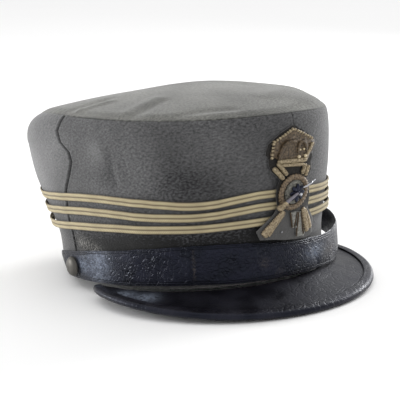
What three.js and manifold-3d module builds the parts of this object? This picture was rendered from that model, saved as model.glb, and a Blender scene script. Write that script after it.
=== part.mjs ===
// A soldier's kepi in grey-green cloth: a stiff flaring crown with a domed top, three rows of twin-cord braid, a
// leather peak with a bound edge, a leather chin strap held by two buttons, and a wire-embroidered badge.
// Millimetres, +Z up. The cap's own frame has the rim's plane at z = 0, the peak towards -Y and the wearer's right
// towards -X. Angles run round the cap from the front towards the wearer's left (+X).
import * as THREE from "three";
import { TessellateModifier } from "three/addons/modifiers/TessellateModifier.js";
import { mergeVertices } from "three/addons/utils/BufferGeometryUtils.js";
import Module from "manifold-3d";

const wasm = await Module();
wasm.setup();

// Head opening, seen from above: two half superellipses that share their half width
const RIM_HALF_WIDTH = 80.5;
const RIM_FRONT = 90.5;
const RIM_REAR = 101.5;
const FRONT_POWER = 2.1;
const REAR_POWER = 2.15;

// Crown wall
const CROWN_HEIGHT = 111;
const FRONT_FLARE = 17;
const SIDE_FLARE = 6;
const REAR_FLARE = 18;
const QUARTER_BULGE = 8.5;
const QUARTER_ANGLE = 133;
const QUARTER_SPREAD = 60;
const CLOTH = 2.2;
const SEAM_SWING = 6;
const SWAY_FROM = 0.5;
const DENT_DEPTH = 2.4;
const TOP_CLOTH = 1.3;
const TOP_DOME = 11.5;
const TOP_POWER = 1.8;
const TOP_PEAK_ACROSS = 12;

// Braid
const BRAID_WIDTH = 5.2;
const BRAID_THICKNESS = 1.9;
const BRAID_GROOVE = 0.8;
const BRAID_BACK_WIDTH = 4.7;
const BRAID_EDGE = 1.2;
const BRAID_HEIGHT = 47.6;
const BRAID_SPACING = 8.4;
const BRAID_SLACK = 2;

// Peak and its binding
const PEAK_DEPTH = 37.6;
const PEAK_SPAN = 90;
const PEAK_FULLNESS = 0.6;
const PEAK_END = 3;
const PEAK_THICKNESS = 2.4;
const PEAK_FRONT_SLOPE = 20.8;
const PEAK_SIDE_SLOPE = -9;
const PEAK_RIDGE = 0.8;
const PEAK_RIDGE_PLACE = 0.12;
const BINDING_WIDTH = 5.5;
const BINDING_THICKNESS = 0.9;
const BINDING_SPAN = 0.88;

// Chin strap and buttons
const STRAP_WIDTH = 25.5;
const STRAP_THICKNESS = 2;
const STRAP_LIFT = 1.2;
const STRAP_BULGE = 16;
const STRAP_RISE = 4;
const STRAP_TAIL = 29;
const STRAP_SLANT = 14;
const BUTTON_ANGLE = 110;
const BUTTON_HEIGHT = 9.5;
const BUTTON_DIAMETER = 14;
const BUTTON_DOME = 5;
const BUTTON_RIM = 1.6;
const BUTTON_UNDERCUT = 0.8;
const SHANK_DIAMETER = 2.4;

// Badge: a place on it is across it, towards the wearer's left, as a share of its half width, and up it from its
// foot, as a share of its height
const BADGE_HALF_WIDTH = 26;
const BADGE_HEIGHT = 79;
const BADGE_FOOT = 24;
const BADGE_CLOTH = 0.9;
const BADGE_RELIEF = 1.4;
const BADGE_BRAID_TOP = 59;
const BADGE_SETTLE = 24;
const BADGE_SLACK = 0.8;
const BAR_WIDTH = 8.2;
const RING_PLACE = { across: -0.054, up: 0.42 };
const RING_RADIUS = 10;
const RING_WIRE = 1.8;
const ROSETTE_PLACE = { across: -0.038, up: 0.425 };
const ROSETTE_RADIUS = 6;
const ROSETTE_WAIST = 4.1;
const ROSETTE_PETALS = 8;
const ROSETTE_RELIEF = 1;
const STUD_PLACE = { across: 0.096, up: 0.392 };
const STUD_DIAMETER = 3.2;
const PIN_DIAMETER = 3.8;

// Clearance between pieces that touch on the real cap, and between the binding's flange and the strap
const CLEARANCE = 0.3;
const FLANGE_CLEARANCE = 0.9;

// Facets
const ROUND_SEGMENTS = 54;
const PEAK_SEGMENTS = 34;
const PEAK_ROWS = 5;
const BINDING_ROWS = 8;
const STRAP_SEGMENTS = 56;
const STRAP_ROWS = 2;
const BUTTON_SEGMENTS = 16;
const BUTTON_ROWS = 5;
const RING_SEGMENTS = 24;
const WIRE_SEGMENTS = 6;
const SMALL_SEGMENTS = 8;
const PIN_ROWS = 4;
const PETAL_POINTS = 4;
const BADGE_FACET = 7;
const BADGE_CUTS = 8;

// Radius at which a hoop's section is spun, and distance within which corners are one corner
const SPIN_RADIUS = 100;
const WELD = 1e-4;

// Sections of the crown wall, from rim to seam: height as a share of CROWN_HEIGHT, and how much of the flares the
// wall has there, at the front of the cap and at the rear
const WALL_SECTIONS = [
  { height: 0.0, front: 0.0, rear: 0.0 },
  { height: 0.19, front: 0.02, rear: 0.02 },
  { height: 0.27, front: 0.1, rear: 0.1 },
  { height: 0.34, front: 0.24, rear: 0.22 },
  { height: 0.4, front: 0.33, rear: 0.34 },
  { height: 0.48, front: 0.45, rear: 0.52 },
  { height: 0.56, front: 0.58, rear: 0.72 },
  { height: 0.66, front: 0.68, rear: 0.88 },
  { height: 0.78, front: 0.76, rear: 1.0 },
  { height: 0.88, front: 0.8, rear: 1.08 },
  { height: 0.96, front: 0.79, rear: 0.85 },
  { height: 1.0, front: 0.72, rear: 0.4 },
];

// Rings of corners across the crown top, as shares of the way from its highest point to its edge
const TOP_RINGS = [0, 0.3, 0.55, 0.75, 0.9, 0.985];

// Height of the top seam round the cap, above or below CROWN_HEIGHT, as a share of SEAM_SWING
const SEAM_COURSE = [
  { angle: -180, rise: -1.05 },
  { angle: -155, rise: -0.9 },
  { angle: -135, rise: -0.2 },
  { angle: -115, rise: 0.22 },
  { angle: -90, rise: 0 },
  { angle: -45, rise: -0.4 },
  { angle: 0, rise: -0.6 },
  { angle: 45, rise: -0.95 },
  { angle: 90, rise: 0 },
  { angle: 130, rise: -0.75 },
  { angle: 180, rise: -1.05 },
];

// Dents in the crown wall: centre angle and half width in degrees, centre and half height as shares of
// CROWN_HEIGHT, depth as a share of DENT_DEPTH, inwards
const DENTS = [
  { angle: -74, halfWidth: 11, height: 0.71, halfHeight: 0.14, depth: 1.0 },
  { angle: -128, halfWidth: 26, height: 0.74, halfHeight: 0.1, depth: 0.5 },
  { angle: 118, halfWidth: 24, height: 0.7, halfHeight: 0.14, depth: 0.6 },
];

// Braids: how many spacings each lies above BRAID_HEIGHT, and its share of BRAID_SLACK
const BRAIDS = [
  { name: "lower", row: -1, slack: 1 },
  { name: "middle", row: 0, slack: 0.5 },
  { name: "upper", row: 1, slack: 0 },
];

// Course of the braids round the cap: how far each lies above or below its even height, as a share of
// BRAID_SPACING, and how slack the lower two are there
const BRAID_COURSE = [
  { angle: -180, lower: -0.3, middle: -0.2, upper: -0.1, slack: 0.4 },
  { angle: -130, lower: -0.48, middle: -0.26, upper: -0.12, slack: 1 },
  { angle: -110, lower: -0.2, middle: 0.05, upper: 0.13, slack: 0.9 },
  { angle: -88, lower: 0, middle: 0.22, upper: 0.31, slack: 0.3 },
  { angle: -65, lower: 0.03, middle: 0.05, upper: 0.15, slack: 0 },
  { angle: -36, lower: 0.02, middle: -0.1, upper: -0.22, slack: 0 },
  { angle: -14, lower: 0.12, middle: 0.24, upper: 0.2, slack: 0 },
  { angle: 12, lower: 0.05, middle: 0, upper: -0.1, slack: 0.3 },
  { angle: 45, lower: -0.03, middle: -0.12, upper: -0.3, slack: 1 },
  { angle: 90, lower: 0, middle: 0, upper: 0, slack: 0.8 },
  { angle: 130, lower: -0.2, middle: -0.1, upper: 0, slack: 0.5 },
  { angle: 180, lower: -0.3, middle: -0.2, upper: -0.1, slack: 0.4 },
];

// Course of the strap round the cap: how far it stands off the band, the rise of its lower edge and its width, as
// shares of STRAP_BULGE, STRAP_RISE and STRAP_WIDTH
const STRAP_COURSE = [
  { angle: -130, bulge: 0.14, rise: -0.1, width: 0.62 },
  { angle: -112, bulge: 0.02, rise: -0.1, width: 0.73 },
  { angle: -99, bulge: 0, rise: -0.1, width: 0.83 },
  { angle: -80, bulge: 0, rise: 0.08, width: 0.91 },
  { angle: -54, bulge: 0, rise: 0.33, width: 1 },
  { angle: -36, bulge: 0, rise: 0.33, width: 1.04 },
  { angle: -16, bulge: 0.01, rise: 0.05, width: 1.02 },
  { angle: 0, bulge: 0.05, rise: 0, width: 0.9 },
  { angle: 12, bulge: 0.1, rise: -0.1, width: 0.86 },
  { angle: 24, bulge: 0.2, rise: -0.3, width: 0.86 },
  { angle: 36, bulge: 0.38, rise: -0.5, width: 0.9 },
  { angle: 48, bulge: 0.62, rise: -0.4, width: 0.93 },
  { angle: 60, bulge: 0.88, rise: 0.08, width: 0.93 },
  { angle: 72, bulge: 1, rise: 0.75, width: 0.9 },
  { angle: 84, bulge: 0.8, rise: 0.9, width: 0.84 },
  { angle: 94, bulge: 0.42, rise: 0.6, width: 0.79 },
  { angle: 102, bulge: 0.08, rise: 0.1, width: 0.75 },
  { angle: 112, bulge: 0.02, rise: -0.1, width: 0.72 },
  { angle: 130, bulge: 0.14, rise: -0.1, width: 0.62 },
];

// Outlines of the badge's flat pieces, anticlockwise from the bottom left as seen from in front of the cap
const BACKING_OUTLINE = [
  { across: -0.865, up: 0.058 },
  { across: -0.462, up: 0.043 },
  { across: -0.154, up: 0.023 },
  { across: 0.231, up: 0.01 },
  { across: 0.596, up: 0.003 },
  { across: 0.808, up: 0.032 },
  { across: 0.788, up: 0.152 },
  { across: 0.5, up: 0.259 },
  { across: 0.519, up: 0.329 },
  { across: 0.481, up: 0.418 },
  { across: 0.365, up: 0.5 },
  { across: 0.596, up: 0.589 },
  { across: 0.596, up: 0.658 },
  { across: 0.685, up: 0.728 },
  { across: 0.808, up: 0.804 },
  { across: 0.769, up: 0.848 },
  { across: 0.462, up: 0.909 },
  { across: 0, up: 1 },
  { across: -0.442, up: 0.937 },
  { across: -0.769, up: 0.854 },
  { across: -0.846, up: 0.772 },
  { across: -0.75, up: 0.722 },
  { across: -0.769, up: 0.677 },
  { across: -0.712, up: 0.62 },
  { across: -0.481, up: 0.538 },
  { across: -0.569, up: 0.468 },
  { across: -0.569, up: 0.392 },
  { across: -0.492, up: 0.323 },
  { across: -0.558, up: 0.266 },
  { across: -1, up: 0.133 },
];
const CROWN_OUTLINE = [
  { across: -0.269, up: 0.658 },
  { across: 0, up: 0.639 },
  { across: 0.231, up: 0.646 },
  { across: 0.442, up: 0.69 },
  { across: 0.615, up: 0.753 },
  { across: 0.712, up: 0.81 },
  { across: 0.692, up: 0.842 },
  { across: 0.442, up: 0.892 },
  { across: 0.173, up: 0.937 },
  { across: -0.058, up: 0.975 },
  { across: -0.327, up: 0.924 },
  { across: -0.635, up: 0.873 },
  { across: -0.75, up: 0.797 },
  { across: -0.769, up: 0.766 },
  { across: -0.712, up: 0.734 },
  { across: -0.558, up: 0.722 },
  { across: -0.462, up: 0.69 },
];
const TONGUE_RIGHT_OUTLINE = [
  { across: 0.008, up: 0.114 },
  { across: 0.077, up: 0.12 },
  { across: 0.123, up: 0.248 },
  { across: -0.115, up: 0.256 },
];
const TONGUE_LEFT_OUTLINE = [
  { across: 0.177, up: 0.032 },
  { across: 0.404, up: 0.025 },
  { across: 0.446, up: 0.044 },
  { across: 0.208, up: 0.241 },
  { across: 0.162, up: 0.247 },
  { across: 0.115, up: 0.12 },
];

// Bars of the badge and the halves of its pin, each from its place to its end place, with its widths there as
// shares of BAR_WIDTH and of PIN_DIAMETER
const BARS = [
  { name: "arm_right", across: -0.346, up: 0.561, endAcross: -0.6, endUp: 0.671, start: 0.56, end: 0.61 },
  { name: "arm_left", across: 0.238, up: 0.549, endAcross: 0.4, endUp: 0.635, start: 0.54, end: 0.56 },
  { name: "stave_right", across: -0.308, up: 0.263, endAcross: -0.792, endUp: 0.094, start: 0.61, end: 1 },
  { name: "stave_left", across: 0.281, up: 0.273, endAcross: 0.635, endUp: 0.057, start: 0.56, end: 0.78 },
];
const PINS = [
  { name: "pin_handle", across: -0.058, up: 0.418, endAcross: -0.546, endUp: 0.306, start: 0.63, end: 1 },
  { name: "pin_tip", across: 0.615, up: 0.491, endAcross: 0.123, endUp: 0.446, start: 0.24, end: 0.39 },
];

const radians = THREE.MathUtils.degToRad;
const degrees = THREE.MathUtils.radToDeg;

// Reads one column of a table, on straight lines or on a smooth curve through its rows.
function reader(table, key, column, Interpolant) {
  const places = table.map((row) => row[key]);
  const values = table.map((row) => row[column]);
  const curve = new Interpolant(places, values, 1);
  return (place) => curve.evaluate(THREE.MathUtils.clamp(place, places[0], places.at(-1)))[0];
}

const frontShare = reader(WALL_SECTIONS, "height", "front", THREE.LinearInterpolant);
const rearShare = reader(WALL_SECTIONS, "height", "rear", THREE.LinearInterpolant);
const seamShare = reader(SEAM_COURSE, "angle", "rise", THREE.CubicInterpolant);
const braidCourse = {
  lower: reader(BRAID_COURSE, "angle", "lower", THREE.CubicInterpolant),
  middle: reader(BRAID_COURSE, "angle", "middle", THREE.CubicInterpolant),
  upper: reader(BRAID_COURSE, "angle", "upper", THREE.CubicInterpolant),
};
const braidSlack = reader(BRAID_COURSE, "angle", "slack", THREE.CubicInterpolant);
const strapBulge = reader(STRAP_COURSE, "angle", "bulge", THREE.CubicInterpolant);
const strapRise = reader(STRAP_COURSE, "angle", "rise", THREE.CubicInterpolant);
const strapWidth = reader(STRAP_COURSE, "angle", "width", THREE.CubicInterpolant);

// Smooth hill from 1 at its centre to 0 at its edge.
function hill(distance) {
  return Math.abs(distance) >= 1 ? 0 : 0.5 + 0.5 * Math.cos(Math.PI * distance);
}

// Half length of the plan in a direction, at a share of the flare.
function reach(angle, flare) {
  const front = Math.cos(angle) >= 0;
  const long = front ? RIM_FRONT + flare * FRONT_FLARE : RIM_REAR + flare * REAR_FLARE;
  const half = RIM_HALF_WIDTH + flare * SIDE_FLARE;
  const power = front ? FRONT_POWER : REAR_POWER;
  const across = Math.abs(Math.sin(angle) / half) ** power;
  const along = Math.abs(Math.cos(angle) / long) ** power;
  const quarter = hill((Math.abs(degrees(angle)) - QUARTER_ANGLE) / QUARTER_SPREAD);
  return (across + along) ** (-1 / power) + flare * QUARTER_BULGE * quarter;
}

function dentDepth(angle, height) {
  const share = height / CROWN_HEIGHT;
  const depths = DENTS.map((dent) => {
    const turn = THREE.MathUtils.euclideanModulo(degrees(angle) - dent.angle + 180, 360) - 180;
    return dent.depth * hill(turn / dent.halfWidth) * hill((share - dent.height) / dent.halfHeight);
  });
  return DENT_DEPTH * depths.reduce((sum, depth) => sum + depth, 0);
}

function polar(angle, radius, height) {
  return new THREE.Vector3(radius * Math.sin(angle), -radius * Math.cos(angle), height);
}

function flareAt(angle, height) {
  const share = height / CROWN_HEIGHT;
  return THREE.MathUtils.lerp(frontShare(share), rearShare(share), 0.5 - 0.5 * Math.cos(angle));
}

// The seam rises and sags round the cap, and takes the upper half of the wall with it.
function sway(angle, height) {
  const upper = THREE.MathUtils.smoothstep(height / CROWN_HEIGHT, SWAY_FROM, 1);
  return SEAM_SWING * upper * seamShare(degrees(angle));
}

// A point on the crown's outer face, or out from it.
function onWall(angle, height, out = 0) {
  const radius = reach(angle, flareAt(angle, height)) - dentDepth(angle, height) + out;
  return polar(angle, radius, height + sway(angle, height));
}

// The plan's outward direction at the rim.
function outward(angle) {
  const step = 1e-3;
  const along = polar(angle + step, reach(angle + step, 0), 0).sub(polar(angle - step, reach(angle - step, 0), 0));
  return new THREE.Vector3(along.y, -along.x, 0).normalize();
}

// Moves every corner of a geometry to place(corner).
function bend(geometry, place) {
  const corners = geometry.getAttribute("position");
  const corner = new THREE.Vector3();
  for (let i = 0; i < corners.count; i++) {
    const placed = place(corner.fromBufferAttribute(corners, i));
    corners.setXYZ(i, placed.x, placed.y, placed.z);
  }
  geometry.computeVertexNormals();
  return geometry;
}

// A closed ring: a section of { out, up } corners spun round the axis, then put in place.
function hoop(section, place) {
  const points = [...section, section[0]].map(({ out, up }) => new THREE.Vector2(SPIN_RADIUS + out, up));
  const geometry = new THREE.LatheGeometry(points, ROUND_SEGMENTS).rotateX(Math.PI / 2);
  return bend(geometry, ({ x, y, z }) => place(Math.atan2(x, -y), Math.hypot(x, y) - SPIN_RADIUS, z));
}

// A bent plate: u runs along it from -1 to 1, v across it from 0 to 1, and w through it from 0 to 1.
function plate(along, across, place) {
  const geometry = new THREE.BoxGeometry(2, 1, 1, along, across, 1);
  return bend(geometry, ({ x, y, z }) => place(x, y + 0.5, z + 0.5));
}

function toSolid(geometry) {
  const bare = geometry.clone();
  bare.deleteAttribute("normal");
  bare.deleteAttribute("uv");
  const merged = mergeVertices(bare, WELD);
  return new wasm.Manifold(
    new wasm.Mesh({
      numProp: 3,
      vertProperties: new Float32Array(merged.getAttribute("position").array),
      triVerts: new Uint32Array(merged.index.array),
    }),
  );
}

function toGeometry(solid) {
  const { vertProperties, triVerts } = solid.getMesh();
  const geometry = new THREE.BufferGeometry();
  geometry.setAttribute("position", new THREE.BufferAttribute(new Float32Array(vertProperties), 3));
  geometry.setIndex(new THREE.BufferAttribute(new Uint32Array(triVerts), 1));
  geometry.computeVertexNormals();
  return geometry;
}

// Crown wall: outer face up to the seam, inner face down to the rim
function crownSide() {
  const heights = WALL_SECTIONS.map((section) => section.height * CROWN_HEIGHT);
  const outer = heights.map((up) => ({ out: 0, up }));
  const inner = heights.map((up) => ({ out: -CLOTH, up })).reverse();
  return hoop([...outer, ...inner], (angle, out, up) => onWall(angle, up, out));
}

// Crown top: a domed disc whose rounded edge sits on the wall's upper edge
function crownTop() {
  const under = TOP_RINGS.map((share) => new THREE.Vector2(share, 0));
  const edge = [new THREE.Vector2(1, 0), new THREE.Vector2(1, 0.5)];
  const upper = TOP_RINGS.map((share) => new THREE.Vector2(share, 1)).reverse();
  const disc = new THREE.LatheGeometry([...under, ...edge, ...upper], ROUND_SEGMENTS).rotateX(Math.PI / 2);
  return bend(disc, ({ x, y, z }) => {
    const share = Math.hypot(x, y);
    const angle = share > 0 ? Math.atan2(x, -y) : 0;
    const point = polar(angle, reach(angle, flareAt(angle, CROWN_HEIGHT)), 0);
    point.lerp(new THREE.Vector3(TOP_PEAK_ACROSS, 0, 0), 1 - share);
    point.z = CROWN_HEIGHT + CLEARANCE + TOP_CLOTH * z;
    point.z += share * sway(angle, CROWN_HEIGHT) + TOP_DOME * (1 - share ** TOP_POWER);
    return point;
  });
}

// A point on a braid: round the cap, out from the cloth and up from the braid's middle
function onBraid({ name, row, slack }, angle, out, up) {
  const level = BRAID_HEIGHT + BRAID_SPACING * (row + braidCourse[name](degrees(angle)));
  const loose = BRAID_SLACK * slack * Math.max(braidSlack(degrees(angle)), 0);
  return onWall(angle, level + up, CLEARANCE + loose + out);
}

// Two cords side by side, with a groove between them
function braidRing(braid) {
  const half = BRAID_WIDTH / 2;
  const section = [
    { out: 0, up: BRAID_BACK_WIDTH / 2 },
    { out: 0, up: -BRAID_BACK_WIDTH / 2 },
    { out: BRAID_EDGE, up: -half },
    { out: BRAID_THICKNESS, up: -half / 2 },
    { out: BRAID_THICKNESS - BRAID_GROOVE, up: 0 },
    { out: BRAID_THICKNESS, up: half / 2 },
    { out: BRAID_EDGE, up: half },
  ];
  return hoop(section, (angle, out, up) => onBraid(braid, angle, out, up));
}

// Peak: across from the root at the rim, at 0, to the free edge, at 1, and above its top face
function peakFrame(u) {
  const angle = radians(PEAK_SPAN) * Math.sin((u * Math.PI) / 2);
  const shape = Math.max(Math.cos((Math.PI / 2) * Math.sin((u * Math.PI) / 2)), 0) ** PEAK_FULLNESS;
  const turn = 1 - Math.cos(angle);
  return {
    angle,
    width: PEAK_END + (PEAK_DEPTH - PEAK_END) * shape,
    slope: radians(THREE.MathUtils.lerp(PEAK_FRONT_SLOPE, PEAK_SIDE_SLOPE, turn)),
  };
}

function onPeak(u, across, above) {
  const { angle, width, slope } = peakFrame(u);
  const out = outward(angle);
  const run = across * width;
  const root = onWall(angle, 0, CLEARANCE);
  root.addScaledVector(out, run * Math.cos(slope) + above * Math.sin(slope));
  root.z += above * Math.cos(slope) - run * Math.sin(slope);
  root.z += PEAK_RIDGE * (width / PEAK_DEPTH) * hill((across - PEAK_RIDGE_PLACE) / PEAK_RIDGE_PLACE);
  return root;
}

function peak() {
  return plate(PEAK_SEGMENTS, PEAK_ROWS, (u, v, w) => onPeak(u, 1 - v, (w - 1) * PEAK_THICKNESS));
}

// The binding is folded round the peak's edge. Towards the ends its flanges narrow, to stay clear of the strap.
function peakBinding() {
  const middle = -PEAK_THICKNESS / 2;
  const radius = PEAK_THICKNESS / 2 + CLEARANCE;
  const fold = Math.PI * radius;
  const strapRoom = STRAP_THICKNESS + FLANGE_CLEARANCE;
  return plate(PEAK_SEGMENTS, BINDING_ROWS, (u, v, w) => {
    const place = u * BINDING_SPAN;
    const { width } = peakFrame(place);
    const flange = Math.min(BINDING_WIDTH, width - strapRoom);
    const shell = radius + w * BINDING_THICKNESS;
    const along = v * (2 * BINDING_WIDTH + fold) - BINDING_WIDTH;
    const reached = (length) => 1 - (length / BINDING_WIDTH) * (flange / width);
    if (along < 0) return onPeak(place, reached(-along), middle - shell);
    if (along > fold) return onPeak(place, reached(along - fold), middle + shell);
    const turn = along / radius - Math.PI / 2;
    return onPeak(place, 1 + (shell * Math.cos(turn)) / width, middle + shell * Math.sin(turn));
  });
}

// Chin strap: up it from its lower edge, at 0, to its upper edge, at 1. It follows the crown's slope where it lies
// on it, and stands upright where it has come off.
function onStrap(angle, up, out) {
  const bulge = Math.max(strapBulge(degrees(angle)), 0);
  const width = STRAP_WIDTH * strapWidth(degrees(angle));
  const height = STRAP_LIFT + up * width + STRAP_RISE * strapRise(degrees(angle));
  const wall = reach(angle, flareAt(angle, height));
  const band = reach(angle, flareAt(angle, STRAP_LIFT + STRAP_WIDTH / 2));
  const radius = THREE.MathUtils.lerp(wall, band, bulge) + CLEARANCE + bulge * STRAP_BULGE + out;
  return polar(angle, radius, height);
}

// Button: a dome on a shank that passes through the strap, drawn along its own axis
function button() {
  const radius = BUTTON_DIAMETER / 2;
  const shank = SHANK_DIAMETER / 2;
  const dome = Array.from({ length: BUTTON_ROWS }, (_, i) => {
    const turn = (i / BUTTON_ROWS) * (Math.PI / 2);
    return new THREE.Vector2(radius * Math.cos(turn), BUTTON_RIM + (BUTTON_DOME - BUTTON_RIM) * Math.sin(turn));
  });
  const profile = [
    new THREE.Vector2(0, -STRAP_THICKNESS - CLEARANCE),
    new THREE.Vector2(shank, -STRAP_THICKNESS - CLEARANCE),
    new THREE.Vector2(shank, 0),
    new THREE.Vector2(radius, BUTTON_UNDERCUT),
    ...dome,
    new THREE.Vector2(0, BUTTON_DOME),
  ];
  return new THREE.LatheGeometry(profile, BUTTON_SEGMENTS);
}

// Side is -1 at the wearer's right and 1 at the left. The button's axis is square to the strap.
function placeButton(object, side) {
  const angle = side * radians(BUTTON_ANGLE);
  const up = (BUTTON_HEIGHT - onStrap(angle, 0, 0).z) / (onStrap(angle, 1, 0).z - onStrap(angle, 0, 0).z);
  const step = 0.02;
  const along = onStrap(angle + step, up, 0).sub(onStrap(angle - step, up, 0));
  const across = onStrap(angle, 1, 0).sub(onStrap(angle, 0, 0));
  const axis = along.cross(across).normalize();
  object.position.copy(onStrap(angle, up, STRAP_THICKNESS)).addScaledVector(axis, CLEARANCE);
  object.quaternion.setFromUnitVectors(new THREE.Vector3(0, 1, 0), axis);
  object.updateMatrix();
  return object;
}

function chinStrap() {
  const end = radians(BUTTON_ANGLE) + STRAP_TAIL / RIM_REAR;
  const slant = STRAP_SLANT / RIM_REAR;
  const band = plate(STRAP_SEGMENTS, STRAP_ROWS, (u, v, w) => {
    return onStrap(u * (end - slant * (1 - v)), v, w * STRAP_THICKNESS);
  });
  const bore = SHANK_DIAMETER / 2 + CLEARANCE;
  const hole = new THREE.CylinderGeometry(bore, bore, 4 * STRAP_THICKNESS, BUTTON_SEGMENTS);
  const cut = [-1, 1].reduce((solid, side) => {
    const tool = placeButton(new THREE.Object3D(), side);
    return solid.subtract(toSolid(hole.clone().applyMatrix4(tool.matrix)));
  }, toSolid(band));
  return toGeometry(cut);
}

// A share of the badge as millimetres across it and up from the rim
function placed({ across, up }) {
  return new THREE.Vector2(across * BADGE_HALF_WIDTH, BADGE_FOOT + up * BADGE_HEIGHT);
}

// A point on the badge: across and up it, and out from the cloth or, lower down, from the braid that it covers
function onBadge(across, up, out) {
  const angle = across / reach(0, flareAt(0, up));
  const overBraid = 2 * CLEARANCE + BRAID_THICKNESS + BADGE_SLACK;
  const settled = THREE.MathUtils.smoothstep(up, BADGE_BRAID_TOP, BADGE_BRAID_TOP + BADGE_SETTLE);
  return onWall(angle, up, THREE.MathUtils.lerp(overBraid, CLEARANCE, settled) + out);
}

// A flat outline given a thickness and laid on the badge, with its long edges divided so that it bends
function emblem(outline, base, depth) {
  const shape = new THREE.Shape(outline);
  const flat = new THREE.ExtrudeGeometry(shape, { depth, bevelEnabled: false, steps: 1 });
  flat.deleteAttribute("uv");
  const divided = new TessellateModifier(BADGE_FACET, BADGE_CUTS).modify(flat);
  return bend(divided, ({ x, y, z }) => onBadge(x, y, base + z));
}

const onCloth = BADGE_CLOTH + CLEARANCE;

// The two end places of a bar or a pin
function ends({ across, up, endAcross, endUp }) {
  return [placed({ across, up }), placed({ across: endAcross, up: endUp })];
}

function badgeBar(bar) {
  const [from, to] = ends(bar);
  const side = to.clone().sub(from).normalize().rotateAround(new THREE.Vector2(), Math.PI / 2);
  const corner = (place, share) => place.clone().addScaledVector(side, (share * BAR_WIDTH) / 2);
  const outline = [corner(from, bar.start), corner(from, -bar.start), corner(to, -bar.end), corner(to, bar.end)];
  return emblem(outline, onCloth, BADGE_RELIEF);
}

// A geometry made flat on the badge: z is out from the badge, and x and y run from a place on it
function mount(geometry, centre, out) {
  return bend(geometry, ({ x, y, z }) => onBadge(centre.x + x, centre.y + y, out + z));
}

// The ring: round wire, flattened to the badge's relief
function badgeRing() {
  const wire = new THREE.TorusGeometry(RING_RADIUS, RING_WIRE, WIRE_SEGMENTS, RING_SEGMENTS);
  wire.computeBoundingBox();
  wire.scale(1, 1, BADGE_RELIEF / (2 * wire.boundingBox.max.z));
  return mount(wire, placed(RING_PLACE), onCloth + BADGE_RELIEF / 2);
}

function badgeDisc() {
  const radius = RING_RADIUS - RING_WIRE - CLEARANCE;
  const disc = new THREE.CylinderGeometry(radius, radius, BADGE_CLOTH, RING_SEGMENTS).rotateX(Math.PI / 2);
  return mount(disc, placed(RING_PLACE), onCloth + BADGE_CLOTH / 2);
}

const rosetteBase = onCloth + BADGE_CLOTH + CLEARANCE;

// Rosette: the radius falls from each petal's tip to the waist between two petals
function badgeRosette() {
  const points = PETAL_POINTS * ROSETTE_PETALS;
  const outline = Array.from({ length: points }, (_, i) => {
    const petal = Math.abs(Math.cos((Math.PI * i) / PETAL_POINTS));
    const radius = THREE.MathUtils.lerp(ROSETTE_WAIST, ROSETTE_RADIUS, petal);
    const turn = (2 * Math.PI * i) / points;
    return new THREE.Vector2(radius, 0).rotateAround(new THREE.Vector2(), turn).add(placed(ROSETTE_PLACE));
  });
  return emblem(outline, rosetteBase, ROSETTE_RELIEF);
}

const rosetteTop = rosetteBase + ROSETTE_RELIEF + CLEARANCE;

function badgeStud() {
  const radius = STUD_DIAMETER / 2;
  const ball = new THREE.SphereGeometry(radius, SMALL_SEGMENTS, WIRE_SEGMENTS);
  return mount(ball, placed(STUD_PLACE), rosetteTop + radius);
}

// A round rod with blunt ends, laid over the ring and the rosette
function badgePin(pin) {
  const [from, to] = ends(pin);
  const run = to.clone().sub(from);
  const start = (pin.start * PIN_DIAMETER) / 2;
  const end = (pin.end * PIN_DIAMETER) / 2;
  const rod = new THREE.CylinderGeometry(end, start, run.length(), SMALL_SEGMENTS, PIN_ROWS);
  rod.rotateZ(run.angle() - Math.PI / 2);
  return mount(rod, from.lerp(to, 0.5), rosetteTop + Math.max(start, end));
}

function material(color, roughness, metalness = 0) {
  return new THREE.MeshStandardMaterial({ color, roughness, metalness });
}

const cloth = material(0x6f7174, 0.95);
const badgeCloth = material(0x6b6e64, 0.95);
const lace = material(0xc9b98f, 0.6);
const leather = material(0x1d1c24, 0.4);
const goldWire = material(0x8b7a5a, 0.45, 0.6);
const darkMetal = material(0x2a2a30, 0.4, 0.8);
const silver = material(0xb8b8ba, 0.3, 1);
const buttonMetal = material(0x5b5c55, 0.5, 0.7);

const cap = new THREE.Group();

function add(name, geometry, finish) {
  const mesh = new THREE.Mesh(geometry, finish);
  mesh.name = name;
  cap.add(mesh);
  return mesh;
}

add("crown_side", crownSide(), cloth);
add("crown_top", crownTop(), cloth);
BRAIDS.forEach((braid) => add(`braid_${braid.name}`, braidRing(braid), lace));
add("peak", peak(), leather);
add("peak_binding", peakBinding(), leather);
add("chin_strap", chinStrap(), leather);
placeButton(add("side_button_right", button(), buttonMetal), -1);
placeButton(add("side_button_left", button(), buttonMetal), 1);
add("badge_backing", emblem(BACKING_OUTLINE.map(placed), 0, BADGE_CLOTH), badgeCloth);
add("badge_crown", emblem(CROWN_OUTLINE.map(placed), onCloth, BADGE_RELIEF), goldWire);
BARS.forEach((bar) => add(`badge_${bar.name}`, badgeBar(bar), goldWire));
add("badge_tongue_right", emblem(TONGUE_RIGHT_OUTLINE.map(placed), onCloth, BADGE_CLOTH), badgeCloth);
add("badge_tongue_left", emblem(TONGUE_LEFT_OUTLINE.map(placed), onCloth, BADGE_CLOTH), badgeCloth);
add("badge_ring", badgeRing(), goldWire);
add("badge_disc", badgeDisc(), badgeCloth);
add("badge_rosette", badgeRosette(), darkMetal);
add("badge_stud", badgeStud(), silver);
add("badge_pin_handle", badgePin(PINS[0]), goldWire);
add("badge_pin_tip", badgePin(PINS[1]), silver);

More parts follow.
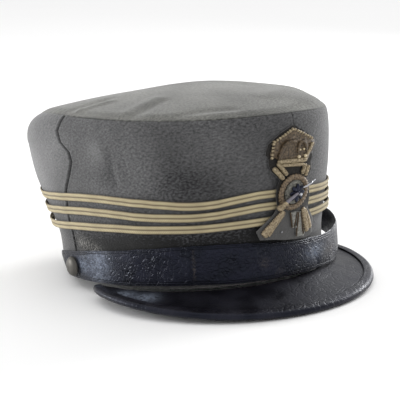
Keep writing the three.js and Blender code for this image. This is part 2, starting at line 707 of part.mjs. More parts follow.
// The cap stands by itself on the peak's edge and the rear of the rim: it is turned about X until its lowest
// corner in front and its lowest corner behind are level, and set down with the middle of its plan over the origin.
function corners(group) {
  group.updateMatrixWorld(true);
  const found = [];
  group.traverse((object) => {
    if (!object.isMesh) return;
    const places = object.geometry.getAttribute("position");
    for (let i = 0; i < places.count; i++) {
      found.push(new THREE.Vector3().fromBufferAttribute(places, i).applyMatrix4(object.matrixWorld));
    }
  });
  return found;
}

function lowest(points) {
  return points.reduce((low, point) => (point.z < low.z ? point : low));
}

const STEPS_TO_REST = 4;
for (let i = 0; i < STEPS_TO_REST; i++) {
  const points = corners(cap);
  const front = lowest(points.filter((point) => point.y < 0));
  const rear = lowest(points.filter((point) => point.y > 0));
  cap.rotation.x -= Math.atan2(rear.z - front.z, rear.y - front.y);
}
const box = new THREE.Box3().setFromPoints(corners(cap));
const middle = box.getCenter(new THREE.Vector3());
cap.position.set(-middle.x, -middle.y, -box.min.z);

const part = new THREE.Group();
part.add(cap);

export default part;
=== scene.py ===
"""The looks of a soldier's kepi: felted grey cloth, straw braid, crazed leather and a gilt wire badge."""
import math
from functools import cache

import bmesh
import bpy
from mathutils import Matrix, Vector, noise
from mathutils.bvhtree import BVHTree
from mathutils.kdtree import KDTree


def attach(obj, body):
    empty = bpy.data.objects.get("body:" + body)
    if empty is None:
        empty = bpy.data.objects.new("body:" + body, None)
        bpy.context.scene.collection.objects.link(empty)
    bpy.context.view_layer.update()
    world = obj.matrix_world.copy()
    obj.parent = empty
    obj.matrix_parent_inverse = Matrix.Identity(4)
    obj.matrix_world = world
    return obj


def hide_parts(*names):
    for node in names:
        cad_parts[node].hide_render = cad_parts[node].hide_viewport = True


MM = 0.001
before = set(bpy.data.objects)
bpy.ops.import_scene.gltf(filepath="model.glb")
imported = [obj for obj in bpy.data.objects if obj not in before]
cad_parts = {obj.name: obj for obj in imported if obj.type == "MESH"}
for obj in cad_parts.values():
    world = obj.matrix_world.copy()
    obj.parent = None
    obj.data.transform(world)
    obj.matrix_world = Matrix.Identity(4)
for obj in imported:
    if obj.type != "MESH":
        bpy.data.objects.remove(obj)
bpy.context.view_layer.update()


def as_rows(names, *rows):
    """A table as a list of rows, whose values go by the names at its head."""
    return [dict(zip(names.split(), row)) for row in rows]


# Camera: the photograph's viewpoint, worked out from the cap's outline, for a picture 400 pixels wide
VIEW_AZIMUTH = math.radians(-40.29)
VIEW_ELEVATION = math.radians(11.956)
VIEW_ROLL = math.radians(-1.31)
VIEW_DISTANCE = 998.07 * MM
VIEW_TARGET = Vector((0, 0, 57.5)) * MM
SENSOR_WIDTH = 36.0
IMAGE_WIDTH = 400
FOCAL_PIXELS = 1462.6
PRINCIPAL_POINT = (194.2, 191.5)

# Lights: place and target in metres, size in metres, power in watts
LIGHTS = as_rows(
    "name place target size power",
    ("overhead", (0.3, 0.3, 3.0), (0, 0, 0), 7.0, 58),
    ("left_box", (-0.85, 0.95, 0.24), (0, 0, 0.05), 0.46, 9),
    ("right_box", (1.25, 0.1, 0.45), (0, 0, 0.06), 0.6, 11),
)
WORLD_STRENGTH = 0.74
FLOOR_SIZE = 6.0

# Levels of rounding of the solids' facets, and how doubles are merged and triangles paired before it
FINE = 3
COARSE = 2
MERGE_DISTANCE = 0.002 * MM
PAIR_BEND = math.radians(50)
PAIR_SKEW = math.radians(60)

# The cap's middle radius, at which pieces are unrolled, and where its rim and faces are looked for
UNROLLED_RADIUS = 92 * MM
MIDDLE_STRIP = 8 * MM
RIM_ENDS = 80 * MM
RAY_START = 300 * MM

# Seams of the crown, the open one at the wearer's right and the closed one in front: angle round the cap
# and height above the rim
SIDE_SEAM = as_rows(
    "angle height",
    (-103.4, 112),
    (-105.6, 101.6),
    (-103.9, 94.5),
    (-99.2, 88.2),
    (-98.3, 81.6),
    (-101.2, 72.8),
    (-105.8, 61.5),
    (-107.8, 52.2),
    (-110.0, 42.8),
    (-111.0, 20),
)
FRONT_SEAM = as_rows(
    "angle height",
    (0.8, 112),
    (0.8, 98),
    (0.4, 40),
)
SEAM_CUTS = as_rows(
    "reach cuts",
    (5.0, 2),
    (2.5, 1),
)
# The slit is painted black as the shadow inside it, and the front seam darker, by FRONT_SEAM_SHADE, as
# painted shade in its groove
SLIT_HALF_WIDTH = 0.95 * MM
SLIT_DEPTH = 1.5 * MM
SLIT_LIP = 0.35 * MM
FRONT_SEAM_HALF_WIDTH = 0.5 * MM
FRONT_SEAM_DEPTH = 0.4 * MM
FRONT_SEAM_SHADE = 0.55

# Soft creases of the crown wall: from one angle and height to another, with their half widths and rises
# in millimetres
WALL_CREASES = as_rows(
    "from to half_width rise",
    ((-80, 92), (-71, 76), 4.5, 1.0),
    ((-75, 88), (-73.5, 69), 2.8, -1.5),
    ((-62, 72), (-55, 60), 7.0, -0.9),
    ((-47, 66), (-36, 62), 9.0, -0.8),
    ((-139, 87), (-108, 91), 2.0, -0.7),
    ((-139, 91), (-108, 95), 2.5, 0.35),
    ((-18, 96), (-16, 60), 6.0, 0.5),
    ((-96, 30), (-70, 29), 2.5, -0.5),
    ((60, 90), (72, 66), 8.0, -1.0),
    ((140, 80), (160, 92), 6.0, 0.8),
)

# Soft creases of the crown top: from one place to another, across and to the rear of the cap's axis
TOP_CREASES = as_rows(
    "from to half_width rise",
    ((-86, 14), (-58, 7), 3.5, 0.9),
    ((-84, 20), (-56, 14), 4.0, -0.7),
    ((-74, -40), (-44, -31), 4.5, -0.9),
    ((-76, -30), (-42, -22), 5.5, 0.8),
    ((-60, -66), (-30, -83), 4.0, -0.8),
    ((10, -70), (48, -52), 8.0, 0.7),
    ((30, -82), (66, -34), 20.0, 2.2),
    ((20, 30), (-10, 62), 10.0, -0.8),
)

# The top's edge: how far in it is soft, degrees between its readings, its seam's width, painted shade and
# depth
TOP_EDGE = 9 * MM
TOP_SECTOR = 4
TOP_SEAM_WIDTH = 0.9 * MM
TOP_SEAM_SHADE = 0.85
SEAM_DRAW = 1.5 * MM

# Waves of the cloth, and the height at the wall's foot over which they grow
WALL_FOOT = 6 * MM
WALL_WAVE = 0.5 * MM
TOP_WAVE = 0.7 * MM
CLOTH_WAVE_LENGTH = 38 * MM

# Places of the wall made lighter or darker, with how much: soiled and faded patches, and painted shade on
# the band below the braids; and its rubbed places
WALL_TONES = as_rows(
    "angle height half_angle half_height tone",
    (-44, 68, 15, 14, -0.05),
    (-75, 78, 8, 14, -0.03),
    (-82, 88, 7, 10, 0.05),
    (-130, 80, 26, 30, 0.08),
    # The next three rows darken the band below the braids: painted shade
    (-55, 27, 60, 11, -0.1),
    (-10, 33, 22, 10, -0.05),
    (-98, 26, 18, 10, -0.06),
    (-20, 104, 30, 8, -0.02),
)
WORN_PLACES = as_rows(
    "angle height half_angle half_height",
    (-103, 26, 7, 5),
    (-134, 30, 8, 8),
    (-92, 23, 4, 3),
    (150, 24, 9, 6),
)

# Creases and cracks of the strap, in the same columns as those of the crown wall
STRAP_CREASES = as_rows(
    "from to half_width rise",
    ((-40.7, 31), (-41.8, 2), 0.9, -0.6),
    ((-42.5, 31), (-43.5, 2), 1.6, 0.45),
    ((-19.5, 30), (-14.2, 4), 1.5, -0.45),
    ((-33, 24), (-27, 8), 1.4, 0.3),
    ((-26, 26), (-22, 9), 1.3, -0.35),
    ((-38, 23), (-35, 13), 1.0, 0.35),
    ((-36, 10), (-30, 6), 1.0, -0.35),
    ((-32, 25), (-24, 20), 1.0, 0.35),
    ((-29, 14), (-24, 12), 1.0, 0.35),
    ((-90, 22), (-87, 4), 2.2, 0.3),
    ((-66, 26), (-60, 6), 3.0, -0.3),
    ((12, 22), (18, 4), 2.0, -0.4),
)
WORN_STRAP = as_rows(
    "angle height half_angle half_height",
    (-12, 13, 2, 3),
    (-5.3, 5.5, 1.5, 2),
    (-40.5, 15, 0.6, 12),
    (-108, 20, 6, 3),
    (30, 10, 6, 4),
)

# Bluish bloom where the leather's dressing has dried, which also paints the glare of a light there: on the
# strap and, in plan, on the peak
STRAP_BLOOM_AND_GLARE = as_rows(
    "angle height half_angle half_height",
    (-90, 14, 8, 16),
    (-103, 12, 5, 5),
    (16, 13, 6, 5),
)
PEAK_BLOOM_AND_GLARE = as_rows(
    "place half_width",
    ((-90, -34), 8),
    ((-84, -50), 7),
)
STRAP_WAVE = 0.35 * MM
STRAP_WAVE_LENGTH = 11 * MM

# Degrees between readings of a band's height and of the peak's outline, and steps between two of the outline
SPAN_STEP = 5
OUTLINE_SECTOR = 2
OUTLINE_STEPS = 8

# Small waves that the stitches press into the peak's binding, and dents of the buttons
STITCH_WAVE = 0.12 * MM
STITCH_WAVE_LENGTH = 6 * MM
BUTTON_DENT = 0.15 * MM
BUTTON_DENT_LENGTH = 4 * MM

# How far the strap's lower edge is drawn up at the wearer's left, and the middle and spread in degrees
STRAP_LIFT = 6 * MM
LIFT_ANGLE = 80
LIFT_SPREAD = 16

# Braid: how far the cords wander, over what length, and how much they spread beyond the solid
BRAID_WANDER = 0.35 * MM
BRAID_WANDER_LENGTH = 26 * MM
BRAID_SPREAD = 0.12

# Badge: how far the cloth sags with it at the front, and how far it sits towards the wearer's right
FRONT_SAG = 3.6 * MM
BADGE_SHIFT = -0.9 * MM
CROWN_HEIGHT = 111 * MM
BADGE_GRAIN = 0.12 * MM
BADGE_GRAIN_LENGTH = 3 * MM
PADDING_LUMP = 0.6 * MM
PADDING_LUMP_LENGTH = 3.2 * MM

# Wound wire: sides of a roll, rows of faces for a turn, shares of its width that a ridge stands out and
# that is left at its ends, how blunt the ends are, and its relief
SIDES = 12
ROLL_ROWS = 6
ARCH_ROWS = 4
RIDGE = 0.12
END_WIDTH = 0.45
END_POWER = 6
PATH_STEP = 0.01
RELIEF_SHARE = 0.8
WIDE_ROLL = 3.5
WIDE_ROLL_RELIEF = 2.4

# Wound rolls of the badge: from and to across the badge and up from the rim, with widths at the two ends
# and turns of wire. These and the badge's other tables are in millimetres
ROLLS = as_rows(
    "piece from to widths turns",
    ("arm_right", (-7.4, 69.4), (-13.6, 78.4), (2.9, 3.3), 12),
    ("arm_right", (-10.2, 67.0), (-16.9, 75.6), (2.9, 3.4), 12),
    ("arm_left", (4.9, 68.2), (8.9, 75.0), (2.6, 2.9), 10),
    ("arm_left", (7.5, 66.6), (11.7, 73.2), (2.6, 2.9), 10),
    ("stave_right", (-7.8, 45.6), (-20.8, 31.2), (4.4, 6.8), 16),
    ("stave_right", (-9.9, 42.6), (-17.0, 30.6), (1.8, 2.6), 14),
    ("stave_left", (7.5, 45.4), (14.6, 28.6), (3.4, 4.3), 11),
    ("stave_left", (9.6, 44.4), (17.4, 30.2), (2.2, 3.0), 14),
    ("crown", (-14.0, 79.4), (9.4, 77.6), (2.9, 3.1), 20),
    ("crown", (-11.8, 76.6), (7.0, 74.8), (2.4, 2.6), 18),
    ("crown", (7.0, 76.6), (16.4, 88.6), (2.4, 2.2), 14),
)

# The gold of each bar's rolls
BAR_GOLDS = {"arm_right": "bright", "arm_left": "bright", "stave_right": "pale", "stave_left": "pale"}

# Beads of the badge's crown, in rows from one place to another
BEAD_ROWS = as_rows(
    "from to count diameter",
    ((-17.6, 82.4), (-16.4, 92.0), 5, 2.1),
    ((-15.6, 93.4), (-1.6, 100.2), 8, 2.1),
    ((0.4, 99.8), (15.8, 91.8), 8, 2.0),
)
PEARLS = as_rows(
    "from to count diameter",
    ((2.4, 80.6), (7.9, 80.6), 2, 2.4),
    ((3.4, 85.4), (7.0, 85.4), 2, 1.7),
)
PEARL_OUT = 1.6
BEAD_OUT = 0.7
BEAD_MESH = {"u_segments": 10, "v_segments": 7}
BEAD_SEAT = 0.4

# Arches of the badge's crown, each bent over a centre from one half turn to another
ARCHES = as_rows(
    "centre radii sweep width turns",
    ((-3.6, 80.5), (9.0, 11.5), (1.0, 0.38), 2.8, 18),
    ((6.0, 85.0), (3.6, 5.8), (1.1, -0.1), 2.1, 18),
)
PIN_HEADS = ((-7.5, 31.8), (4.6, 33.2), (12.0, 34.5))
PIN_HEAD = {"diameter": 1.3, "base": 0.6}

# Thread edges of the badge's two cloth tongues
TONGUE_EDGES = as_rows(
    "from to",
    ((-2.9, 44.0), (0.3, 33.2)),
    ((3.0, 43.4), (1.9, 33.6)),
    ((4.2, 43.2), (4.8, 26.8)),
    ((6.2, 42.6), (11.2, 27.4)),
)
THREAD = {"width": 0.9, "turns": 10, "rows": 50, "out": 1.0}

# Ring, rosette and stud in the middle of the badge. The ring's ridge and flatness and the stud's table
# and height are shares of their sizes
RING = {
    "centre": (-1.4, 57.2), "radius": 10.0, "wire": 1.9, "turns": 34,
    "ridge": 0.16, "flatness": 0.55, "out": 1.3,
}
ROSETTE = {"centre": (0.6, 56.2), "petals": 8, "petal": (2.9, 1.5, 0.8), "reach": 3.3, "petal_out": 2.1}
HEART = {"radius": 1.6, "out": 2.3}
PETAL_MESH = {"u_segments": 12, "v_segments": 8}
HEART_MESH = {"u_segments": 16, "v_segments": 8}
STUD = {
    "place": (2.2, 55.0), "radius": 1.6, "sides": 8, "table": 0.55, "height": 0.9, "bevel": 0.12, "out": 3.6,
}

# The pin's parts, and how far out they lie
HANDLE = {"from": (-0.8, 56.6), "to": (-9.8, 51.0), "widths": (1.6, 2.4), "turns": 12}
GRIP = {"from": (-9.0, 51.6), "to": (-14.2, 47.8), "widths": (3.2, 3.9), "turns": 6}
TIP = {"from": (15.8, 62.7), "to": (3.4, 59.3), "widths": (0.8, 1.4), "turns": 0}
PIN_OUT = 3.0
ROLL_OUT = 0.2
CROWN_ROLL_OUT = 0.9

# How much lighter the backing's lower part is, below the painted shadow round the crown and ring, and the
# heights between which that shadow fades
BACKING_LIFT_BELOW_SHADOW = 0.07
PAINTED_SHADOW_FOOT = 38 * MM
PAINTED_SHADOW_FULL = 56 * MM


# Places on the cap
def rim_frame():
    """The cap's own frame in the row's: the rim's plane at height 0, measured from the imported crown."""
    places = [vertex.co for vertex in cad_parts["crown_side"].data.vertices]
    near_middle = [place for place in places if abs(place.x) < MIDDLE_STRIP]
    rear = min((place for place in near_middle if place.y > RIM_ENDS), key=lambda place: place.z)
    front = min((place for place in near_middle if place.y < -RIM_ENDS), key=lambda place: place.z)
    tilt = math.atan2(front.z - rear.z, rear.y - front.y)
    lift = front.z + math.sin(tilt) * front.y / math.cos(tilt)
    return Matrix.Translation((0, 0, lift)) @ Matrix.Rotation(-tilt, 4, "X")


CAP = rim_frame()
CAP_INVERSE = CAP.inverted()
WALL_TREE = BVHTree.FromObject(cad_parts["crown_side"], bpy.context.evaluated_depsgraph_get())
BADGE_TREE = BVHTree.FromObject(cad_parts["badge_backing"], bpy.context.evaluated_depsgraph_get())


def round_cap(place):
    """Angle from the front towards the wearer's left, distance from the axis and height above the rim."""
    local = CAP_INVERSE @ place
    return math.atan2(local.x, -local.y), math.hypot(local.x, local.y), local.z


def from_axis(angle, radius, height):
    return CAP @ Vector((radius * math.sin(angle), -radius * math.cos(angle), height))


def smooth_step(low, high, value):
    share = min(max((value - low) / (high - low), 0), 1)
    return share * share * (3 - 2 * share)


def hit_inwards(tree, angle, height):
    """Distance from the axis of the outermost face of a solid in a direction, or None."""
    start = from_axis(angle, RAY_START, height)
    place, _, _, _ = tree.ray_cast(start, from_axis(angle, 0, height) - start)
    return round_cap(place)[1] if place else None


def on_badge(place):
    """A place given across the badge, up from the rim and out from its backing, laid on the cap."""
    height = place.y - FRONT_SAG * smooth_step(CROWN_HEIGHT / 2, CROWN_HEIGHT, place.y)
    angle = (place.x + BADGE_SHIFT) / hit_inwards(WALL_TREE, 0, height)
    radius = hit_inwards(BADGE_TREE, angle, height)
    if radius is None:
        on_wall = from_axis(angle, hit_inwards(WALL_TREE, angle, height), height)
        radius = round_cap(BADGE_TREE.find_nearest(on_wall)[0])[1]
    return from_axis(angle, radius + place.z, height)


def height_span(node):
    """A function that gives the lowest and highest place of a band round the cap, read from its solid."""
    places = [round_cap(vertex.co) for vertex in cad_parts[node].data.vertices]
    closeness = math.cos(math.radians(SPAN_STEP))
    rows = []
    for step in range(-180, 180 + SPAN_STEP, SPAN_STEP):
        turn = math.radians(step)
        near = [height for angle, _, height in places if math.cos(angle - turn) > closeness]
        if near:
            rows.append((turn, min(near), max(near)))

    def read(angle):
        for lower, upper in zip(rows, rows[1:]):
            if angle <= upper[0]:
                share = max((angle - lower[0]) / (upper[0] - lower[0]), 0)
                return tuple(low + share * (high - low) for low, high in zip(lower[1:], upper[1:]))
        return rows[-1][1:]

    return read


# Meshes
def mesh_of(name, bm):
    """Turns a bmesh into a mesh."""
    mesh = bpy.data.meshes.new(name)
    bm.to_mesh(mesh)
    bm.free()
    return mesh


def linked(name, data):
    """A new object in the scene."""
    made = bpy.data.objects.new(name, data)
    bpy.context.scene.collection.objects.link(made)
    return made


def piece(name, bm, replaced, material):
    """Makes the mesh an object that rides on the cap and stands for solids."""
    bm.normal_update()
    mesh = mesh_of(name, bm)
    mesh.shade_smooth()
    mesh.materials.append(material)
    made = linked(name, mesh)
    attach(made, "root")
    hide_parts(*replaced)


def copy_of(node):
    """The solid's mesh with its doubles merged and its triangles paired."""
    bm = bmesh.new()
    bm.from_mesh(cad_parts[node].data)
    bmesh.ops.remove_doubles(bm, verts=bm.verts, dist=MERGE_DISTANCE)
    bmesh.ops.join_triangles(
        bm, faces=bm.faces, angle_face_threshold=PAIR_BEND, angle_shape_threshold=PAIR_SKEW
    )
    return bm


def rounded(bm, levels):
    """The same mesh after Catmull-Clark subdivision."""
    mesh = mesh_of("rounding", bm)
    holder = linked("rounding", mesh)
    subdivision = holder.modifiers.new("rounding", "SUBSURF")
    subdivision.levels = levels
    subdivision.render_levels = levels
    depsgraph = bpy.context.evaluated_depsgraph_get()
    result = bmesh.new()
    result.from_mesh(holder.evaluated_get(depsgraph).to_mesh())
    bpy.data.objects.remove(holder)
    bpy.data.meshes.remove(mesh)
    return result


def write_values(bm, name, value):
    """Writes value(vertex) on every vertex as the attribute that a material reads."""
    layer = bm.verts.layers.float.new(name)
    for vertex in bm.verts:
        vertex[layer] = value(vertex)


def unroll(bm, middle=None):
    """Lays the mesh's UV round the cap and up it, in metres, with the height counted from middle(angle)."""
    layer = bm.loops.layers.uv.new("laid")
    for face in bm.faces:
        centre, _, _ = round_cap(face.calc_center_median())
        for loop in face.loops:
            angle, _, height = round_cap(loop.vert.co)
            base = middle(angle) if middle else 0
            angle += 2 * math.pi * round((centre - angle) / (2 * math.pi))
            loop[layer].uv = (angle * UNROLLED_RADIUS, height - base)


def lay_flat(bm):
    """Lays the mesh's UV over its plan, in metres."""
    layer = bm.loops.layers.uv.new("laid")
    for face in bm.faces:
        for loop in face.loops:
            loop[layer].uv = loop.vert.co.xy


def bell(distance, half_width):
    return math.exp(-((distance / half_width) ** 2))


def creases_at(x, y, creases):
    """How far the creases, given in metres, raise a place."""
    total = 0.0
    for start, end, half_width, rise in creases:
        run = end - start
        off = Vector((x, y)) - start
        along = min(max(off.dot(run) / run.length_squared, 0), 1)
        distance = (off - along * run).length
        total += rise * bell(distance, half_width)
    return total


def crease_rows(table, scale):
    """A table of creases in metres: scale(place) turns a place of the table into one."""
    rows = [tuple(row.values()) for row in table]
    return [(scale(start), scale(end), half_width * MM, rise * MM) for start, end, half_width, rise in rows]


def unrolled_place(place):
    return Vector((math.radians(place[0]) * UNROLLED_RADIUS, place[1] * MM))


def spots_of(table):
    """A function that gives the sum of a table's soft spots at a vertex, each worth 1 or its own tone."""

    def at(vertex):
        angle, _, height = round_cap(vertex.co)
        total = 0.0
        for row in table:
            across = (math.degrees(angle) - row["angle"]) / row["half_angle"]
            up = (height / MM - row["height"]) / row["half_height"]
            total += row.get("tone", 1) * math.exp(-(across**2) - up**2)
        return total

    return at


def seam_distance(place, rows):
    """Distance round the cap from a seam, whose rows run downwards."""
    angle, radius, height = round_cap(place)
    level = height / MM
    for upper, lower in zip(rows, rows[1:]):
        if level >= lower["height"]:
            break
    share = (level - lower["height"]) / (upper["height"] - lower["height"])
    share = min(max(share, 0), 1)
    seam = math.radians(lower["angle"] + share * (upper["angle"] - lower["angle"]))
    return (angle - seam) * radius


def faces_out(vertex):
    """True on the outer face of a wall, whose normal points away from the axis."""
    return vertex.normal.x * vertex.co.x + vertex.normal.y * vertex.co.y > 0


# Crown
def refine_seam(bm, rows):
    for cut in SEAM_CUTS:
        bm.normal_update()
        reach = cut["reach"] * MM
        near = {v for v in bm.verts if abs(seam_distance(v.co, rows)) < reach and faces_out(v)}
        edges = [edge for edge in bm.edges if all(vertex in near for vertex in edge.verts)]
        bmesh.ops.subdivide_edges(bm, edges=edges, cuts=cut["cuts"], use_grid_fill=True)
    bm.normal_update()


def crown_wall():
    """The crown's wall, its colours darker than the top's as painted shade, with its open side seam painted
    black as the shadow in it, its closed front seam painted darker as shade, its creases, its soiling and
    the painted shade of the band below the braids.
    """
    bm = rounded(copy_of("crown_side"), COARSE)
    refine_seam(bm, SIDE_SEAM)
    refine_seam(bm, FRONT_SEAM)

    # Painted shadow: black in the open side seam, and a darker line of painted shade along the front seam
    def painted_seam_shadow(vertex):
        if not faces_out(vertex):
            return 0.0
        front = bell(seam_distance(vertex.co, FRONT_SEAM), FRONT_SEAM_HALF_WIDTH)
        return max(bell(seam_distance(vertex.co, SIDE_SEAM), SLIT_HALF_WIDTH), FRONT_SEAM_SHADE * front)

    write_values(bm, "painted_seam_shadow", painted_seam_shadow)
    write_values(bm, "tone", spots_of(WALL_TONES))
    write_values(bm, "worn", spots_of(WORN_PLACES))
    unroll(bm)
    creases = crease_rows(WALL_CREASES, unrolled_place)
    for vertex in bm.verts:
        angle, _, height = round_cap(vertex.co)
        move = noise.noise(vertex.co / CLOTH_WAVE_LENGTH) * WALL_WAVE
        move += creases_at(angle * UNROLLED_RADIUS, height, creases)
        move *= smooth_step(0, WALL_FOOT, height)
        if faces_out(vertex):
            across = abs(seam_distance(vertex.co, SIDE_SEAM))
            move += SLIT_LIP * bell(across - 2 * SLIT_HALF_WIDTH, SLIT_HALF_WIDTH)
            move -= SLIT_DEPTH * bell(across, SLIT_HALF_WIDTH)
            move -= FRONT_SEAM_DEPTH * bell(seam_distance(vertex.co, FRONT_SEAM), FRONT_SEAM_HALF_WIDTH)
        vertex.co += Vector((vertex.co.x, vertex.co.y, 0)).normalized() * move
    piece("crown_wall", bm, ["crown_side"], felted_wool("wall"))


def crown_dome():
    """The crown's top, painted lighter than the wall as light falling on it, with soft folds near its edge
    and a seam round it painted dark as shade.
    """
    bm = rounded(copy_of("crown_top"), FINE)
    creases = crease_rows(TOP_CREASES, lambda place: Vector(place) * MM)
    reaches = {}
    for vertex in bm.verts:
        angle, radius, _ = round_cap(vertex.co)
        sector = round(math.degrees(angle) / TOP_SECTOR)
        reaches[sector] = max(radius, reaches.get(sector, 0))

    def inwards(vertex):
        angle, radius, _ = round_cap(vertex.co)
        return reaches[round(math.degrees(angle) / TOP_SECTOR)] - radius

    # The seam round the top is painted dark as shade
    write_values(bm, "painted_seam_shadow", lambda vertex: TOP_SEAM_SHADE * bell(inwards(vertex), TOP_SEAM_WIDTH))
    for vertex in bm.verts:
        local = CAP_INVERSE @ vertex.co
        inner = smooth_step(0, TOP_EDGE, inwards(vertex))
        wave = TOP_WAVE * noise.noise(vertex.co / CLOTH_WAVE_LENGTH)
        vertex.co.z += inner * (wave + creases_at(local.x, local.y, creases)) - (1 - inner) * SEAM_DRAW
    lay_flat(bm)
    piece("crown_dome", bm, ["crown_top"], felted_wool("dome"))


# Braid
def braid_cord(row):
    """One row of twin-cord braid, sewn round the crown and wandering a little."""
    node = f"braid_{row}"
    bm = rounded(copy_of(node), FINE)
    span = height_span(node)
    unroll(bm, lambda angle: sum(span(angle)) / 2)
    own = sum(span(0))
    for vertex in bm.verts:
        angle, _, height = round_cap(vertex.co)
        along = Vector((math.sin(angle) * UNROLLED_RADIUS, math.cos(angle) * UNROLLED_RADIUS, own))
        vertex.co.z += BRAID_WANDER * noise.noise(along / BRAID_WANDER_LENGTH)
        vertex.co.z += BRAID_SPREAD * (height - sum(span(angle)) / 2)
    piece(f"lace_{row}", bm, [node], straw_lace())


# Leather
def chin_strap():
    """The strap: creased across, cracked near the front and rubbed brown at its bends."""
    bm = rounded(copy_of("chin_strap"), FINE)
    span = height_span("chin_strap")

    def edge(vertex):
        angle, _, height = round_cap(vertex.co)
        low, high = span(angle)
        return max(min(height - low, high - height), 0)

    write_values(bm, "edge", edge)
    write_values(bm, "worn", spots_of(WORN_STRAP))
    # A bluish bloom of dried dressing that also paints the glare of a light
    write_values(bm, "bloom_and_glare", spots_of(STRAP_BLOOM_AND_GLARE))
    unroll(bm)
    bm.normal_update()
    creases = crease_rows(STRAP_CREASES, unrolled_place)
    for vertex in bm.verts:
        angle, _, height = round_cap(vertex.co)
        low, high = span(angle)
        move = STRAP_WAVE * noise.noise(vertex.co / STRAP_WAVE_LENGTH)
        move += creases_at(angle * UNROLLED_RADIUS, height, creases)
        vertex.co += vertex.normal * (move if faces_out(vertex) else -move)
        lift = STRAP_LIFT * bell(math.degrees(angle) - LIFT_ANGLE, LIFT_SPREAD)
        vertex.co.z += lift * (1 - (height - low) / (high - low))
    piece("strap_leather", bm, ["chin_strap"], old_leather("strap"))


def peak_leather():
    """The peak, with two lines pressed into it inside its bound edge."""
    bm = rounded(copy_of("peak"), FINE)
    far = {}
    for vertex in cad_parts["peak_binding"].data.vertices:
        angle, radius, _ = round_cap(vertex.co)
        sector = round(math.degrees(angle) / OUTLINE_SECTOR)
        if sector not in far or radius > far[sector][0]:
            far[sector] = (radius, vertex.co.copy())
    outline = [far[sector][1] for sector in sorted(far)]
    tree = KDTree(OUTLINE_STEPS * len(outline))
    for start, end in zip(outline, outline[1:]):
        for step in range(OUTLINE_STEPS):
            tree.insert(start.lerp(end, step / OUTLINE_STEPS), 0)
    tree.balance()

    def bloom_and_glare(vertex):
        place = vertex.co.xy / MM
        return sum(bell((place - Vector(row["place"])).length, row["half_width"]) for row in PEAK_BLOOM_AND_GLARE)

    write_values(bm, "edge", lambda vertex: tree.find(vertex.co)[2])
    # A bluish bloom of dried dressing that also paints the glare of a light
    write_values(bm, "bloom_and_glare", bloom_and_glare)
    lay_flat(bm)
    piece("peak_leather", bm, ["peak"], old_leather("peak"))


def peak_edge():
    """The binding folded round the peak's edge, pressed into small waves by its stitches."""
    bm = rounded(copy_of("peak_binding"), COARSE)
    lay_flat(bm)
    for vertex in bm.verts:
        vertex.co.z += STITCH_WAVE * noise.noise(vertex.co / STITCH_WAVE_LENGTH)
    piece("peak_edge", bm, ["peak_binding"], old_leather("edge"))


def side_button(side):
    """A domed button, dented a little."""
    node = f"side_button_{side}"
    bm = rounded(copy_of(node), FINE)
    for vertex in bm.verts:
        vertex.co += BUTTON_DENT * noise.noise(vertex.co / BUTTON_DENT_LENGTH) * vertex.co.normalized()
    lay_flat(bm)
    piece(f"button_{side}", bm, [node], dull_brass())


# Badge, modelled flat in millimetres, with z out from its backing, and then laid on the cap
def flat(place, out=0.0):
    return Vector((place[0], place[1], out))


def add_roll(bm, path, widths, relief, turns, rows, base=0.0):
    """Adds a roll of wound wire along path(share), narrower at its ends, with a ridge for each turn."""
    roll = bmesh.new()
    bmesh.ops.create_cone(
        roll, cap_ends=True, cap_tris=False, segments=SIDES, radius1=0.5, radius2=0.5, depth=1.0
    )
    sides = [edge for edge in roll.edges if abs(edge.verts[0].co.z - edge.verts[1].co.z) > 0.5]
    bmesh.ops.subdivide_edges(roll, edges=sides, cuts=rows)
    for vertex in roll.verts:
        share = vertex.co.z + 0.5
        turn = math.atan2(vertex.co.y, vertex.co.x)
        along = (path(min(share + PATH_STEP, 1)) - path(max(share - PATH_STEP, 0))).normalized()
        side = Vector((-along.y, along.x, 0))
        swell = END_WIDTH + (1 - END_WIDTH) * math.sqrt(max(1 - abs(2 * share - 1) ** END_POWER, 0))
        ridge = 1 + (RIDGE * math.cos(2 * math.pi * turns * share + turn) if turns else 0)
        width = (widths[0] + share * (widths[1] - widths[0])) * swell * ridge
        out = relief * swell * ridge * vertex.co.y + relief / 2 + base
        vertex.co = path(share) + side * width * vertex.co.x + Vector((0, 0, out))
    mesh = mesh_of("roll", roll)
    bm.from_mesh(mesh)
    bpy.data.meshes.remove(mesh)


def straight(row):
    start = flat(row["from"])
    end = flat(row["to"])
    return lambda share: start.lerp(end, share)


def bent(row):
    """A path over an arch, from its foot at the wearer's right to its end at the left."""
    across, up = row["radii"]
    start, end = row["sweep"]

    def path(share):
        turn = math.pi * (start + share * (end - start))
        return flat(row["centre"]) + Vector((across * math.cos(turn), up * math.sin(turn), 0))

    return path


def add_bead(bm, place, diameter, base):
    made = bmesh.ops.create_uvsphere(bm, radius=diameter / 2, **BEAD_MESH)
    bmesh.ops.translate(bm, verts=made["verts"], vec=flat(place, base + diameter * BEAD_SEAT))


def add_beads(bm, rows, base):
    for row in rows:
        for i in range(row["count"]):
            place = flat(row["from"]).lerp(flat(row["to"]), i / (row["count"] - 1))
            add_bead(bm, place, row["diameter"], base)


def laid(name, bm, replaced, material):
    """Scales the flat mesh to metres, keeps its flat places as UV and lays it on the cap."""
    bmesh.ops.scale(bm, verts=bm.verts, vec=(MM, MM, MM))
    bmesh.ops.recalc_face_normals(bm, faces=bm.faces)
    lay_flat(bm)
    for vertex in bm.verts:
        vertex.co = on_badge(vertex.co)
    bmesh.ops.recalc_face_normals(bm, faces=bm.faces)
    piece(name, bm, replaced, material)


def badge_rolls(name, base):
    """The wound rolls of one arm, stave or crown of the badge."""
    bm = bmesh.new()
    for row in ROLLS:
        if row["piece"] == name:
            widest = max(row["widths"])
            relief = RELIEF_SHARE * widest if widest < WIDE_ROLL else WIDE_ROLL_RELIEF
            add_roll(bm, straight(row), row["widths"], relief, row["turns"], ROLL_ROWS * row["turns"], base)
    return bm


